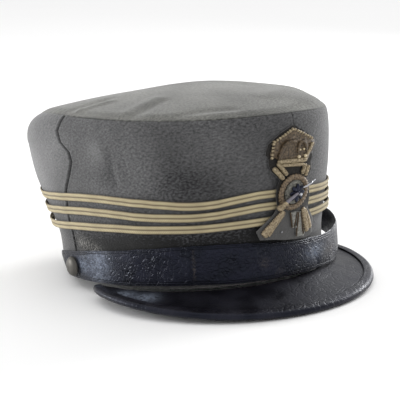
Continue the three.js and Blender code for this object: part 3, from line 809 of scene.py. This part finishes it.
def badge_crown():
    """A plain crown: wound bands and arches over padding, with a beaded border and four pearls."""
    bm = badge_rolls("crown", CROWN_ROLL_OUT)
    add_beads(bm, BEAD_ROWS, BEAD_OUT)
    laid("crown_bullion", bm, ["badge_crown"], gold_bullion("bright"))
    bm = bmesh.new()
    for row in ARCHES:
        width = row["width"]
        rows = ARCH_ROWS * row["turns"]
        add_roll(bm, bent(row), (width, width), width, row["turns"], rows, CROWN_ROLL_OUT)
    laid("crown_arches", bm, ["badge_crown"], gold_bullion("tarnished"))
    bm = bmesh.new()
    add_beads(bm, PEARLS, PEARL_OUT)
    laid("crown_pearls", bm, ["badge_crown"], pale_pearl())
    padding = rounded(copy_of("badge_crown"), FINE)
    padding.normal_update()
    for vertex in padding.verts:
        vertex.co += vertex.normal * PADDING_LUMP * noise.noise(vertex.co / PADDING_LUMP_LENGTH)
    unroll(padding)
    piece("crown_padding", padding, ["badge_crown"], gold_bullion("tarnished"))


def badge_bars():
    """The badge's arms and staves of wound wire."""
    for bar, gold in BAR_GOLDS.items():
        laid(f"{bar}_rolls", badge_rolls(bar, ROLL_OUT), [f"badge_{bar}"], gold_bullion(gold))


def badge_ring():
    """The ring: a coil of flattened wire round a grey disc."""
    bm = bmesh.new()
    made = bmesh.ops.create_circle(bm, segments=SIDES, radius=RING["wire"])
    bmesh.ops.rotate(bm, verts=made["verts"], matrix=Matrix.Rotation(math.pi / 2, 3, "X"))
    bmesh.ops.translate(bm, verts=made["verts"], vec=(RING["radius"], 0, 0))
    steps = ROLL_ROWS * RING["turns"]
    bmesh.ops.spin(
        bm, geom=bm.verts[:] + bm.edges[:], axis=(0, 0, 1), cent=(0, 0, 0), dvec=(0, 0, 0),
        angle=2 * math.pi, steps=steps, use_merge=True,
    )
    for vertex in bm.verts:
        turn = math.atan2(vertex.co.y, vertex.co.x)
        middle = Vector((math.cos(turn), math.sin(turn), 0)) * RING["radius"]
        off = vertex.co - middle
        around = math.atan2(off.z, off.dot(middle.normalized()))
        off *= 1 + RING["ridge"] * math.cos(RING["turns"] * turn + around)
        off.z *= RING["flatness"]
        vertex.co = middle + off + flat(RING["centre"], RING["out"])
    laid("ring_wire", bm, ["badge_ring"], gold_bullion("brown"))


def badge_rosette():
    """The rosette: eight domed petals round a heart."""
    bm = bmesh.new()
    for i in range(ROSETTE["petals"]):
        turn = 2 * math.pi * i / ROSETTE["petals"]
        verts = bmesh.ops.create_uvsphere(bm, radius=1, **PETAL_MESH)["verts"]
        bmesh.ops.scale(bm, verts=verts, vec=ROSETTE["petal"])
        bmesh.ops.translate(bm, verts=verts, vec=(ROSETTE["reach"], 0, 0))
        bmesh.ops.rotate(bm, verts=verts, matrix=Matrix.Rotation(turn, 3, "Z"))
        bmesh.ops.translate(bm, verts=verts, vec=flat(ROSETTE["centre"], ROSETTE["petal_out"]))
    verts = bmesh.ops.create_uvsphere(bm, radius=HEART["radius"], **HEART_MESH)["verts"]
    bmesh.ops.translate(bm, verts=verts, vec=flat(ROSETTE["centre"], HEART["out"]))
    laid("rosette_petals", bm, ["badge_rosette"], blued_steel())


def badge_stud():
    """The stud: a small brilliant-cut head."""
    bm = bmesh.new()
    radius = STUD["radius"]
    bmesh.ops.create_cone(
        bm, cap_ends=True, cap_tris=False, segments=STUD["sides"],
        radius1=radius, radius2=radius * STUD["table"], depth=radius * STUD["height"],
    )
    bmesh.ops.bevel(
        bm, geom=bm.edges[:], affect="EDGES", offset=STUD["bevel"], segments=2, profile=0.5, material=-1
    )
    bmesh.ops.translate(bm, verts=bm.verts, vec=flat(STUD["place"], STUD["out"]))
    laid("stud_head", bm, ["badge_stud"], bright_silver())


def badge_pin():
    """The pin: a thread-wrapped handle with a gilt grip, and a silver tip."""
    for name, node, row, slot, material in (
        ("pin_handle", "badge_pin_handle", HANDLE, "gold_wire", wrapped_thread()),
        ("pin_grip", "badge_pin_handle", GRIP, "gold_wire", gold_bullion("pale")),
        ("pin_tip", "badge_pin_tip", TIP, "silver", bright_silver()),
    ):
        bm = bmesh.new()
        rows = max(ROLL_ROWS * row["turns"], SIDES)
        add_roll(bm, straight(row), row["widths"], max(row["widths"]), row["turns"], rows, PIN_OUT)
        laid(name, bm, [node], material)


def backing_tone(vertex):
    """The backing is painted black round the crown and the ring, as shadow, and is lighter below them."""
    _, _, height = round_cap(vertex.co)
    return BACKING_LIFT_BELOW_SHADOW * (1 - smooth_step(PAINTED_SHADOW_FOOT, PAINTED_SHADOW_FULL, height))


def badge_cloth():
    """The badge's backing, disc and tongues of cloth, with thread edges and pin heads."""
    for node, name, cuts, cloth in (
        ("badge_backing", "backing_cloth", COARSE, "badge"),
        ("badge_disc", "disc_cloth", COARSE, "disc"),
        ("badge_tongue_right", "tongue_right", FINE, "disc"),
        ("badge_tongue_left", "tongue_left", FINE, "disc"),
    ):
        bm = copy_of(node)
        bmesh.ops.subdivide_edges(bm, edges=bm.edges[:], cuts=cuts, use_grid_fill=True)
        bm.normal_update()
        for vertex in bm.verts:
            vertex.co += vertex.normal * BADGE_GRAIN * noise.noise(vertex.co / BADGE_GRAIN_LENGTH)
        # Lighter below the crown and the ring; above them the near-black cloth is painted shadow
        write_values(bm, "tone", backing_tone)
        unroll(bm)
        piece(name, bm, [node], felted_wool(cloth))
    bm = bmesh.new()
    for row in TONGUE_EDGES:
        width = THREAD["width"]
        add_roll(bm, straight(row), (width, width), width, THREAD["turns"], THREAD["rows"], THREAD["out"])
    laid("tongue_threads", bm, ["badge_tongue_right", "badge_tongue_left"], brown_thread())
    bm = bmesh.new()
    for place in PIN_HEADS:
        add_bead(bm, place, **PIN_HEAD)
    laid("pin_heads", bm, ["badge_backing"], bright_silver())


# Materials: sockets of the Mix node for colours
MIX_FACTOR = 0
MIX_A = 6
MIX_B = 7
MIX_OUT = 2

# A wave texture at scale 1 repeats at this length in metres
WAVE_REPEAT = math.pi / 10

# Real sizes of the patterns, in millimetres. The nap's tufts are drawn coarser than real fibres, to show
PATTERNS = {
    "soiled_patch": 41.7,
    "nap_tuft": 1.22,
    "dusty_patch": 11.1,
    "plait": 0.748,
    "cell_drift": 7.7,
    "wrinkle": 2.63,
    "rubbed_patch": 16.7,
    "tarnish_spot": 1.25,
    "wire": 0.349,
    "paint_mottle": 333,
}

# Slant and stretch of the nap, place and reach of the braid's crests, beyond which the braid is painted with
# shade, reach of a line pressed into leather, and how far its cells drift and how much of each is its wall
NAP_SLANT = math.radians(-52)
NAP_STRETCH = (0.6, 1.0, 1.0)
CREST_PLACE = 1.25 * MM
CREST_CORE = 0.35 * MM
CREST_EDGE = 1.4 * MM
LINE_CORE = 0.1 * MM
LINE_EDGE = 0.45 * MM
CELL_DRIFT = 6 * MM
CELL_WALL = 0.12

# Colours that a material has in one place only
COLOURS = {
    "bare_threads": "#a3a19c",
    "seam_shadow": "#0b0b0c",
    "dusty_straw": "#94876a",
    "clean_straw": "#c6b993",
    "braid_groove_and_edge_shade": "#574b39",
    "leather_sheen": "#c3cdec",
    "rubbed_hide": "#7d7368",
    "dressing_bloom_and_glare": "#8790a0",
    "pressed_line": "#08080a",
    "paint": "#fbfbfb",
    "paler_paint": "#fdfdfd",
    "studio": "#ffffff",
}

# Cloths: the colours of their soiled and clean patches, and how strongly the nap shows
CLOTHS = {
    # The wall's colours are darker than the dome's: painted shade on the side and painted light on the top
    "wall": {"soiled": "#434344", "clean": "#5a5a5b", "nap": 0.44},
    "dome": {"soiled": "#51514d", "clean": "#6d6d68", "nap": 0.4},
    # The backing's colours are near black: painted shadow round the badge's crown and ring
    "badge": {"soiled": "#141210", "clean": "#25221f", "nap": 0.44},
    "disc": {"soiled": "#54534e", "clean": "#77766e", "nap": 0.7},
}

# Leathers: colours in the hollows and on the raised parts, size of a cell of the crazing, depth of its
# cracks, roughness where it is polished and where it is rubbed, and places of the pressed lines in from
# the edge. Those of the binding lie beyond it
LEATHERS = {
    "strap": {
        "deep": "#09090d", "raised": "#191923", "cell": 2.6, "crack": 0.28, "polished": 0.26, "rubbed": 0.46,
        "lines": (1.6, 2.8),
    },
    "peak": {
        "deep": "#0a090d", "raised": "#17161b", "cell": 5.0, "crack": 0.08, "polished": 0.36, "rubbed": 0.56,
        "lines": (7.2, 9.0),
    },
    "edge": {
        "deep": "#0d0c11", "raised": "#1f1e24", "cell": 4.0, "crack": 0.15, "polished": 0.3, "rubbed": 0.5,
        "lines": (9.0, 9.0),
    },
}

# Gold wires: colours in the hollows and on the ridges, and how metallic each still looks
GOLDS = {
    "bright": {"hollow": "#5a4b3a", "ridge": "#b9aa8a", "metal": 0.3},
    "tarnished": {"hollow": "#1c1510", "ridge": "#6d5c46", "metal": 0.2},
    "brown": {"hollow": "#3c3026", "ridge": "#8a7860", "metal": 0.3},
    "pale": {"hollow": "#6a5946", "ridge": "#b8a88a", "metal": 0.25},
}


def linear(hex_colour):
    """An sRGB hex colour as linear RGBA."""
    channels = [int(hex_colour[i : i + 2], 16) / 255 for i in (1, 3, 5)]
    return (*[c / 12.92 if c <= 0.04045 else ((c + 0.055) / 1.055) ** 2.4 for c in channels], 1.0)


def colour_of(name):
    return linear(COLOURS[name])


def scale_of(name):
    """The scale of a texture whose pattern has its real size."""
    return 1 / (PATTERNS[name] * MM)


def add(tree, kind, output, settings=None, links=None):
    """Adds a node with its settings and the sockets linked into it, and gives one of its outputs."""
    node = tree.nodes.new("ShaderNode" + kind)
    for key, value in (settings or {}).items():
        if isinstance(key, int) or key in node.inputs:
            node.inputs[key].default_value = value
        else:
            setattr(node, key, value)
    for key, source in (links or {}).items():
        tree.links.new(source, node.inputs[key])
    return node.outputs[output]


def new_material(name, **constants):
    """A material, its node tree and its pieces' UV. Constant values sit on the shader's own sockets."""
    material = bpy.data.materials.new(name)
    material.use_nodes = True
    tree = material.node_tree
    shader = tree.nodes["Principled BSDF"]
    for key, value in constants.items():
        shader.inputs[key.replace("_", " ")].default_value = value
    return material, tree, add(tree, "UVMap", "UV", {"uv_map": "laid"})


def finished(material, colour, roughness=None, height=None, depth=None, strength=None):
    """Links a material's colour, roughness and relief into its shader."""
    tree = material.node_tree
    shader = tree.nodes["Principled BSDF"]
    tree.links.new(colour, shader.inputs["Base Color"])
    if roughness:
        tree.links.new(roughness, shader.inputs["Roughness"])
    if height:
        bump = add(tree, "Bump", "Normal", {"Strength": strength, "Distance": depth}, {"Height": height})
        tree.links.new(bump, shader.inputs["Normal"])
    return material


@cache
def felted_wool(cloth):
    """Fulled grey wool: a short brushed nap that hides the weave, soiled in soft patches and rubbed to paler
    threads in worn places. It gives the eye a matte face with fine slanting streaks."""
    row = CLOTHS[cloth]
    material, tree, place = new_material(
        f"felted_wool_{cloth}", Roughness=0.95, Sheen_Weight=0.3, Sheen_Roughness=0.45
    )
    patches = add(
        tree, "TexNoise", "Fac", {"Scale": scale_of("soiled_patch"), "Detail": 5.0}, {"Vector": place}
    )
    clean = add(tree, "MapRange", "Result", {"From Min": 0.34, "From Max": 0.66}, {"Value": patches})
    base = add(
        tree, "Mix", MIX_OUT,
        {"data_type": "RGBA", MIX_A: linear(row["soiled"]), MIX_B: linear(row["clean"])},
        {MIX_FACTOR: clean},
    )
    slanted = add(
        tree, "Mapping", "Vector", {"Rotation": (0, 0, NAP_SLANT), "Scale": NAP_STRETCH}, {"Vector": place}
    )
    nap = add(
        tree, "TexNoise", "Fac", {"Scale": scale_of("nap_tuft"), "Detail": 3.0, "Roughness": 0.7},
        {"Vector": slanted},
    )
    brushed = add(tree, "MapRange", "Result", {"From Min": 0.36, "From Max": 0.64}, {"Value": nap})
    napped = add(
        tree, "Mix", MIX_OUT, {"data_type": "RGBA", "blend_type": "OVERLAY", MIX_FACTOR: row["nap"]},
        {MIX_A: base, MIX_B: brushed},
    )
    # The tones carry painted shade on the wall's band below the braids, and on the badge's cloth a lift
    # below its painted shadow
    tone = add(tree, "Attribute", "Fac", {"attribute_name": "tone"})
    toned = add(tree, "BrightContrast", "Color", {}, {"Color": napped, "Bright": tone})
    rubbed = add(tree, "Attribute", "Fac", {"attribute_name": "worn"})
    threads = add(
        tree, "MapRange", "Result", {"From Min": 0.45, "From Max": 0.6, "To Max": 0.6}, {"Value": nap}
    )
    worn = add(tree, "Math", "Value", {"operation": "MULTIPLY"}, {0: rubbed, 1: threads})
    # Painted shadow in the open side seam, and painted shade along the front and top seams
    painted_seam_shadow = add(tree, "Attribute", "Fac", {"attribute_name": "painted_seam_shadow"})
    colour = toned
    for name, share in (("bare_threads", worn), ("seam_shadow", painted_seam_shadow)):
        colour = add(
            tree, "Mix", MIX_OUT,
            {"data_type": "RGBA", MIX_B: colour_of(name)}, {MIX_FACTOR: share, MIX_A: colour},
        )
    return finished(material, colour, height=nap, depth=0.5 * MM, strength=0.8)


@cache
def straw_lace():
    """Braid of two plaited cotton cords in a straw colour, dusty in patches, with a slanting plait: the
    crests keep the straw colour, and the groove between them and their edges are painted a dark grey-brown
    as shade. It gives the eye thin bright lines with soft dark borders."""
    material, tree, place = new_material("straw_lace", Roughness=0.75, Sheen_Weight=0.1)
    along = add(tree, "SeparateXYZ", "X", {}, {"Vector": place})
    up = add(tree, "SeparateXYZ", "Y", {}, {"Vector": place})
    across = add(tree, "Math", "Value", {"operation": "ABSOLUTE"}, {0: up})
    off_crest = add(tree, "Math", "Value", {"operation": "SUBTRACT", 1: CREST_PLACE}, {0: across})
    off_crest = add(tree, "Math", "Value", {"operation": "ABSOLUTE"}, {0: off_crest})
    unshaded_crest = add(
        tree, "MapRange", "Result",
        {"interpolation_type": "SMOOTHSTEP", "From Min": CREST_EDGE, "From Max": CREST_CORE},
        {"Value": off_crest},
    )
    mirrored = add(tree, "CombineXYZ", "Vector", {}, {"X": along, "Y": across})
    plait = add(
        tree, "TexWave", "Fac",
        {"bands_direction": "DIAGONAL", "Scale": WAVE_REPEAT * scale_of("plait"), "Distortion": 0.6},
        {"Vector": mirrored},
    )
    dust = add(
        tree, "TexNoise", "Fac", {"Scale": scale_of("dusty_patch"), "Detail": 4.0}, {"Vector": place}
    )
    straw = add(
        tree, "Mix", MIX_OUT,
        {"data_type": "RGBA", MIX_A: colour_of("dusty_straw"), MIX_B: colour_of("clean_straw")},
        {MIX_FACTOR: dust},
    )
    plaited = add(
        tree, "Mix", MIX_OUT, {"data_type": "RGBA", "blend_type": "SOFT_LIGHT", MIX_FACTOR: 0.35},
        {MIX_A: straw, MIX_B: plait},
    )
    # Painted shade: the groove between the cords and their edges take a dark brown, the crests the straw
    # colour
    colour = add(
        tree, "Mix", MIX_OUT, {"data_type": "RGBA", MIX_A: colour_of("braid_groove_and_edge_shade")},
        {MIX_FACTOR: unshaded_crest, MIX_B: plaited},
    )
    return finished(material, colour, height=plait, depth=0.25 * MM, strength=0.5)


def pressed_line(tree, distance, line):
    """1 in a narrow line pressed at a distance in from a leather's edge, and 0 elsewhere."""
    off = add(tree, "Math", "Value", {"operation": "SUBTRACT", 1: line * MM}, {0: distance})
    off = add(tree, "Math", "Value", {"operation": "ABSOLUTE"}, {0: off})
    return add(
        tree, "MapRange", "Result",
        {"interpolation_type": "SMOOTHSTEP", "From Min": LINE_EDGE, "From Max": LINE_CORE}, {"Value": off},
    )


@cache
def old_leather(kind):
    """Black polished cowhide, crazed with age into small cells, wrinkled between them and rubbed dull and
    brown where it bends, with a pale bluish bloom of dried dressing that is also painted glare. It gives the
    eye broken bluish glints over near black."""
    row = LEATHERS[kind]
    material, tree, place = new_material(
        f"old_leather_{kind}", Specular_IOR_Level=0.3, Specular_Tint=colour_of("leather_sheen")
    )
    drift = add(
        tree, "TexNoise", "Color", {"Scale": scale_of("cell_drift"), "Detail": 2.0}, {"Vector": place}
    )
    warped = add(
        tree, "VectorMath", "Vector", {"operation": "MULTIPLY_ADD", 1: (CELL_DRIFT, CELL_DRIFT, 0)},
        {0: drift, 2: place},
    )
    cells = add(
        tree, "TexVoronoi", "Distance", {"feature": "DISTANCE_TO_EDGE", "Scale": 1 / (row["cell"] * MM)},
        {"Vector": warped},
    )
    whole = add(tree, "MapRange", "Result", {"From Max": CELL_WALL}, {"Value": cells})
    wrinkles = add(
        tree, "TexNoise", "Fac", {"Scale": scale_of("wrinkle"), "Detail": 4.0, "Distortion": 1.6},
        {"Vector": warped},
    )
    patches = add(
        tree, "TexNoise", "Fac", {"Scale": scale_of("rubbed_patch"), "Detail": 5.0}, {"Vector": place}
    )
    patchy = add(tree, "MapRange", "Result", {"From Min": 0.38, "From Max": 0.64}, {"Value": patches})
    distance = add(tree, "Attribute", "Fac", {"attribute_name": "edge"})
    first = pressed_line(tree, distance, row["lines"][0])
    second = pressed_line(tree, distance, row["lines"][1])
    lines = add(tree, "Math", "Value", {"operation": "MAXIMUM"}, {0: first, 1: second})
    colour = add(
        tree, "Mix", MIX_OUT,
        {"data_type": "RGBA", MIX_A: linear(row["deep"]), MIX_B: linear(row["raised"])},
        {MIX_FACTOR: patchy},
    )
    rubbed = add(tree, "Attribute", "Fac", {"attribute_name": "worn"})
    specks = add(
        tree, "MapRange", "Result", {"From Min": 0.42, "From Max": 0.66, "To Max": 0.3}, {"Value": wrinkles}
    )
    faint = add(tree, "Math", "Value", {"operation": "MULTIPLY"}, {0: rubbed, 1: specks})
    # Painted glare: a pale bluish bloom where a light's reflection falls, partly the dressing's real bloom
    bloom_and_glare_share = add(tree, "Attribute", "Fac", {"attribute_name": "bloom_and_glare"})
    ragged = add(
        tree, "MapRange", "Result", {"From Min": 0.35, "From Max": 0.62, "To Min": 0.12, "To Max": 0.8},
        {"Value": wrinkles},
    )
    ragged_bloom_and_glare = add(tree, "Math", "Value", {"operation": "MULTIPLY"}, {0: bloom_and_glare_share, 1: ragged})
    for name, share in (("rubbed_hide", faint), ("dressing_bloom_and_glare", ragged_bloom_and_glare), ("pressed_line", lines)):
        colour = add(
            tree, "Mix", MIX_OUT,
            {"data_type": "RGBA", MIX_B: colour_of(name)}, {MIX_FACTOR: share, MIX_A: colour},
        )
    roughness = add(
        tree, "MapRange", "Result", {"To Min": row["polished"], "To Max": row["rubbed"]}, {"Value": patchy}
    )
    wrinkled = add(tree, "Math", "Value", {"operation": "MULTIPLY_ADD", 1: 0.8}, {0: wrinkles, 2: whole})
    height = add(tree, "Math", "Value", {"operation": "SUBTRACT"}, {0: wrinkled, 1: lines})
    return finished(material, colour, roughness, height, depth=row["crack"] * MM, strength=0.8)


@cache
def gold_bullion(kind):
    """Silver-gilt wire wound tight over padding, tarnished brown in the hollows, with gold on the ridges.
    It gives the eye a grain of small warm glints."""
    row = GOLDS[kind]
    material, tree, place = new_material(f"gold_bullion_{kind}", Metallic=row["metal"], Roughness=0.42)
    tarnish = add(
        tree, "TexNoise", "Fac", {"Scale": scale_of("tarnish_spot"), "Detail": 3.0}, {"Vector": place}
    )
    left = add(tree, "MapRange", "Result", {"From Min": 0.3, "From Max": 0.68}, {"Value": tarnish})
    colour = add(
        tree, "Mix", MIX_OUT,
        {"data_type": "RGBA", MIX_A: linear(row["hollow"]), MIX_B: linear(row["ridge"])},
        {MIX_FACTOR: left},
    )
    wire = add(
        tree, "TexWave", "Fac",
        {"bands_direction": "DIAGONAL", "Scale": WAVE_REPEAT * scale_of("wire"), "Distortion": 2.0},
        {"Vector": place},
    )
    return finished(material, colour, height=wire, depth=0.2 * MM, strength=0.5)


@cache
def metal(name, dark, light, metallic, roughness, grain):
    """A metal whose colour and polish vary with a grain of the given size, in millimetres."""
    material, tree, place = new_material(name, Metallic=metallic)
    spots = add(tree, "TexNoise", "Fac", {"Scale": 1 / (grain * MM), "Detail": 5.0}, {"Vector": place})
    colour = add(
        tree, "Mix", MIX_OUT, {"data_type": "RGBA", MIX_A: linear(dark), MIX_B: linear(light)},
        {MIX_FACTOR: spots},
    )
    polish = add(
        tree, "MapRange", "Result", {"To Min": roughness, "To Max": roughness + 0.2}, {"Value": spots}
    )
    return finished(material, colour, polish, spots, depth=0.05 * MM, strength=0.4)


def dull_brass():
    """Stamped brass, browned by handling, with a faint grain that softens its highlight."""
    return metal("dull_stamped_brass", "#3c3b38", "#6e6b66", metallic=0.75, roughness=0.38, grain=2.5)


def blued_steel():
    """Stamped steel blued nearly black, which shows cold edges."""
    return metal("blued_stamped_steel", "#14161f", "#333748", metallic=0.85, roughness=0.28, grain=1.5)


def bright_silver():
    """Cut and polished silver, slightly dulled."""
    return metal("cut_polished_silver", "#8d8e94", "#d2d3d8", metallic=1.0, roughness=0.18, grain=1.2)


def wrapped_thread():
    """Grey-lilac thread wrapped round the pin, with a dry sheen."""
    return metal("wrapped_lilac_thread", "#5d5a63", "#96929b", metallic=0.1, roughness=0.5, grain=1.0)


def brown_thread():
    """Dark brown twisted thread, dull."""
    return metal("twisted_brown_thread", "#2f2419", "#57452f", metallic=0.0, roughness=0.7, grain=0.8)


def pale_pearl():
    """Small glass pearls, cream with a glassy highlight."""
    return metal("blown_glass_pearl", "#a8946c", "#e8dcbe", metallic=0.0, roughness=0.15, grain=2.0)


def pale_floor():
    """Matt white paint over board, with a barely visible mottle."""
    material, tree, _ = new_material("pale_painted_floor", Roughness=0.9)
    place = add(tree, "TexCoord", "Object")
    mottle = add(tree, "TexNoise", "Fac", {"Scale": scale_of("paint_mottle")}, {"Vector": place})
    colour = add(
        tree, "Mix", MIX_OUT,
        {"data_type": "RGBA", MIX_A: colour_of("paint"), MIX_B: colour_of("paler_paint")},
        {MIX_FACTOR: mottle},
    )
    return finished(material, colour)


# Building
crown_wall()
crown_dome()
for row in ("lower", "middle", "upper"):
    braid_cord(row)
chin_strap()
peak_leather()
peak_edge()
for side in ("right", "left"):
    side_button(side)
badge_cloth()
badge_crown()
badge_bars()
badge_ring()
badge_rosette()
badge_stud()
badge_pin()


# Stage, camera and light
def stage():
    bm = bmesh.new()
    bmesh.ops.create_grid(bm, x_segments=1, y_segments=1, size=FLOOR_SIZE)
    floor = linked("floor", mesh_of("floor", bm))
    floor.data.materials.append(pale_floor())


def area_light(name, place, target, size, power):
    data = bpy.data.lights.new(name, "AREA")
    data.shape = "SQUARE"
    data.size = size
    data.energy = power
    lamp = linked(name, data)
    lamp.location = place
    lamp.rotation_euler = (Vector(target) - Vector(place)).to_track_quat("-Z", "Y").to_euler()


def camera():
    plan = math.cos(VIEW_ELEVATION)
    back = Vector((math.sin(VIEW_AZIMUTH) * plan, -math.cos(VIEW_AZIMUTH) * plan, math.sin(VIEW_ELEVATION)))
    right = (-back).cross(Vector((0, 0, 1))).normalized()
    up = right.cross(-back)
    turned_right = math.cos(VIEW_ROLL) * right + math.sin(VIEW_ROLL) * up
    turned_up = -math.sin(VIEW_ROLL) * right + math.cos(VIEW_ROLL) * up
    data = bpy.data.cameras.new("camera")
    data.sensor_width = SENSOR_WIDTH
    data.lens = FOCAL_PIXELS / IMAGE_WIDTH * SENSOR_WIDTH
    data.shift_x = (IMAGE_WIDTH / 2 - PRINCIPAL_POINT[0]) / IMAGE_WIDTH
    data.shift_y = (PRINCIPAL_POINT[1] - IMAGE_WIDTH / 2) / IMAGE_WIDTH
    eye = linked("camera", data)
    rotation = Matrix((turned_right, turned_up, back)).transposed()
    eye.matrix_world = Matrix.Translation(VIEW_TARGET + back * VIEW_DISTANCE) @ rotation.to_4x4()
    bpy.context.scene.camera = eye


def lighting():
    world = bpy.data.worlds.new("studio")
    world.use_nodes = True
    background = world.node_tree.nodes["Background"]
    background.inputs["Color"].default_value = colour_of("studio")
    background.inputs["Strength"].default_value = WORLD_STRENGTH
    bpy.context.scene.world = world
    for row in LIGHTS:
        area_light(**row)
    bpy.context.scene.view_settings.view_transform = "Standard"


stage()
camera()
lighting()
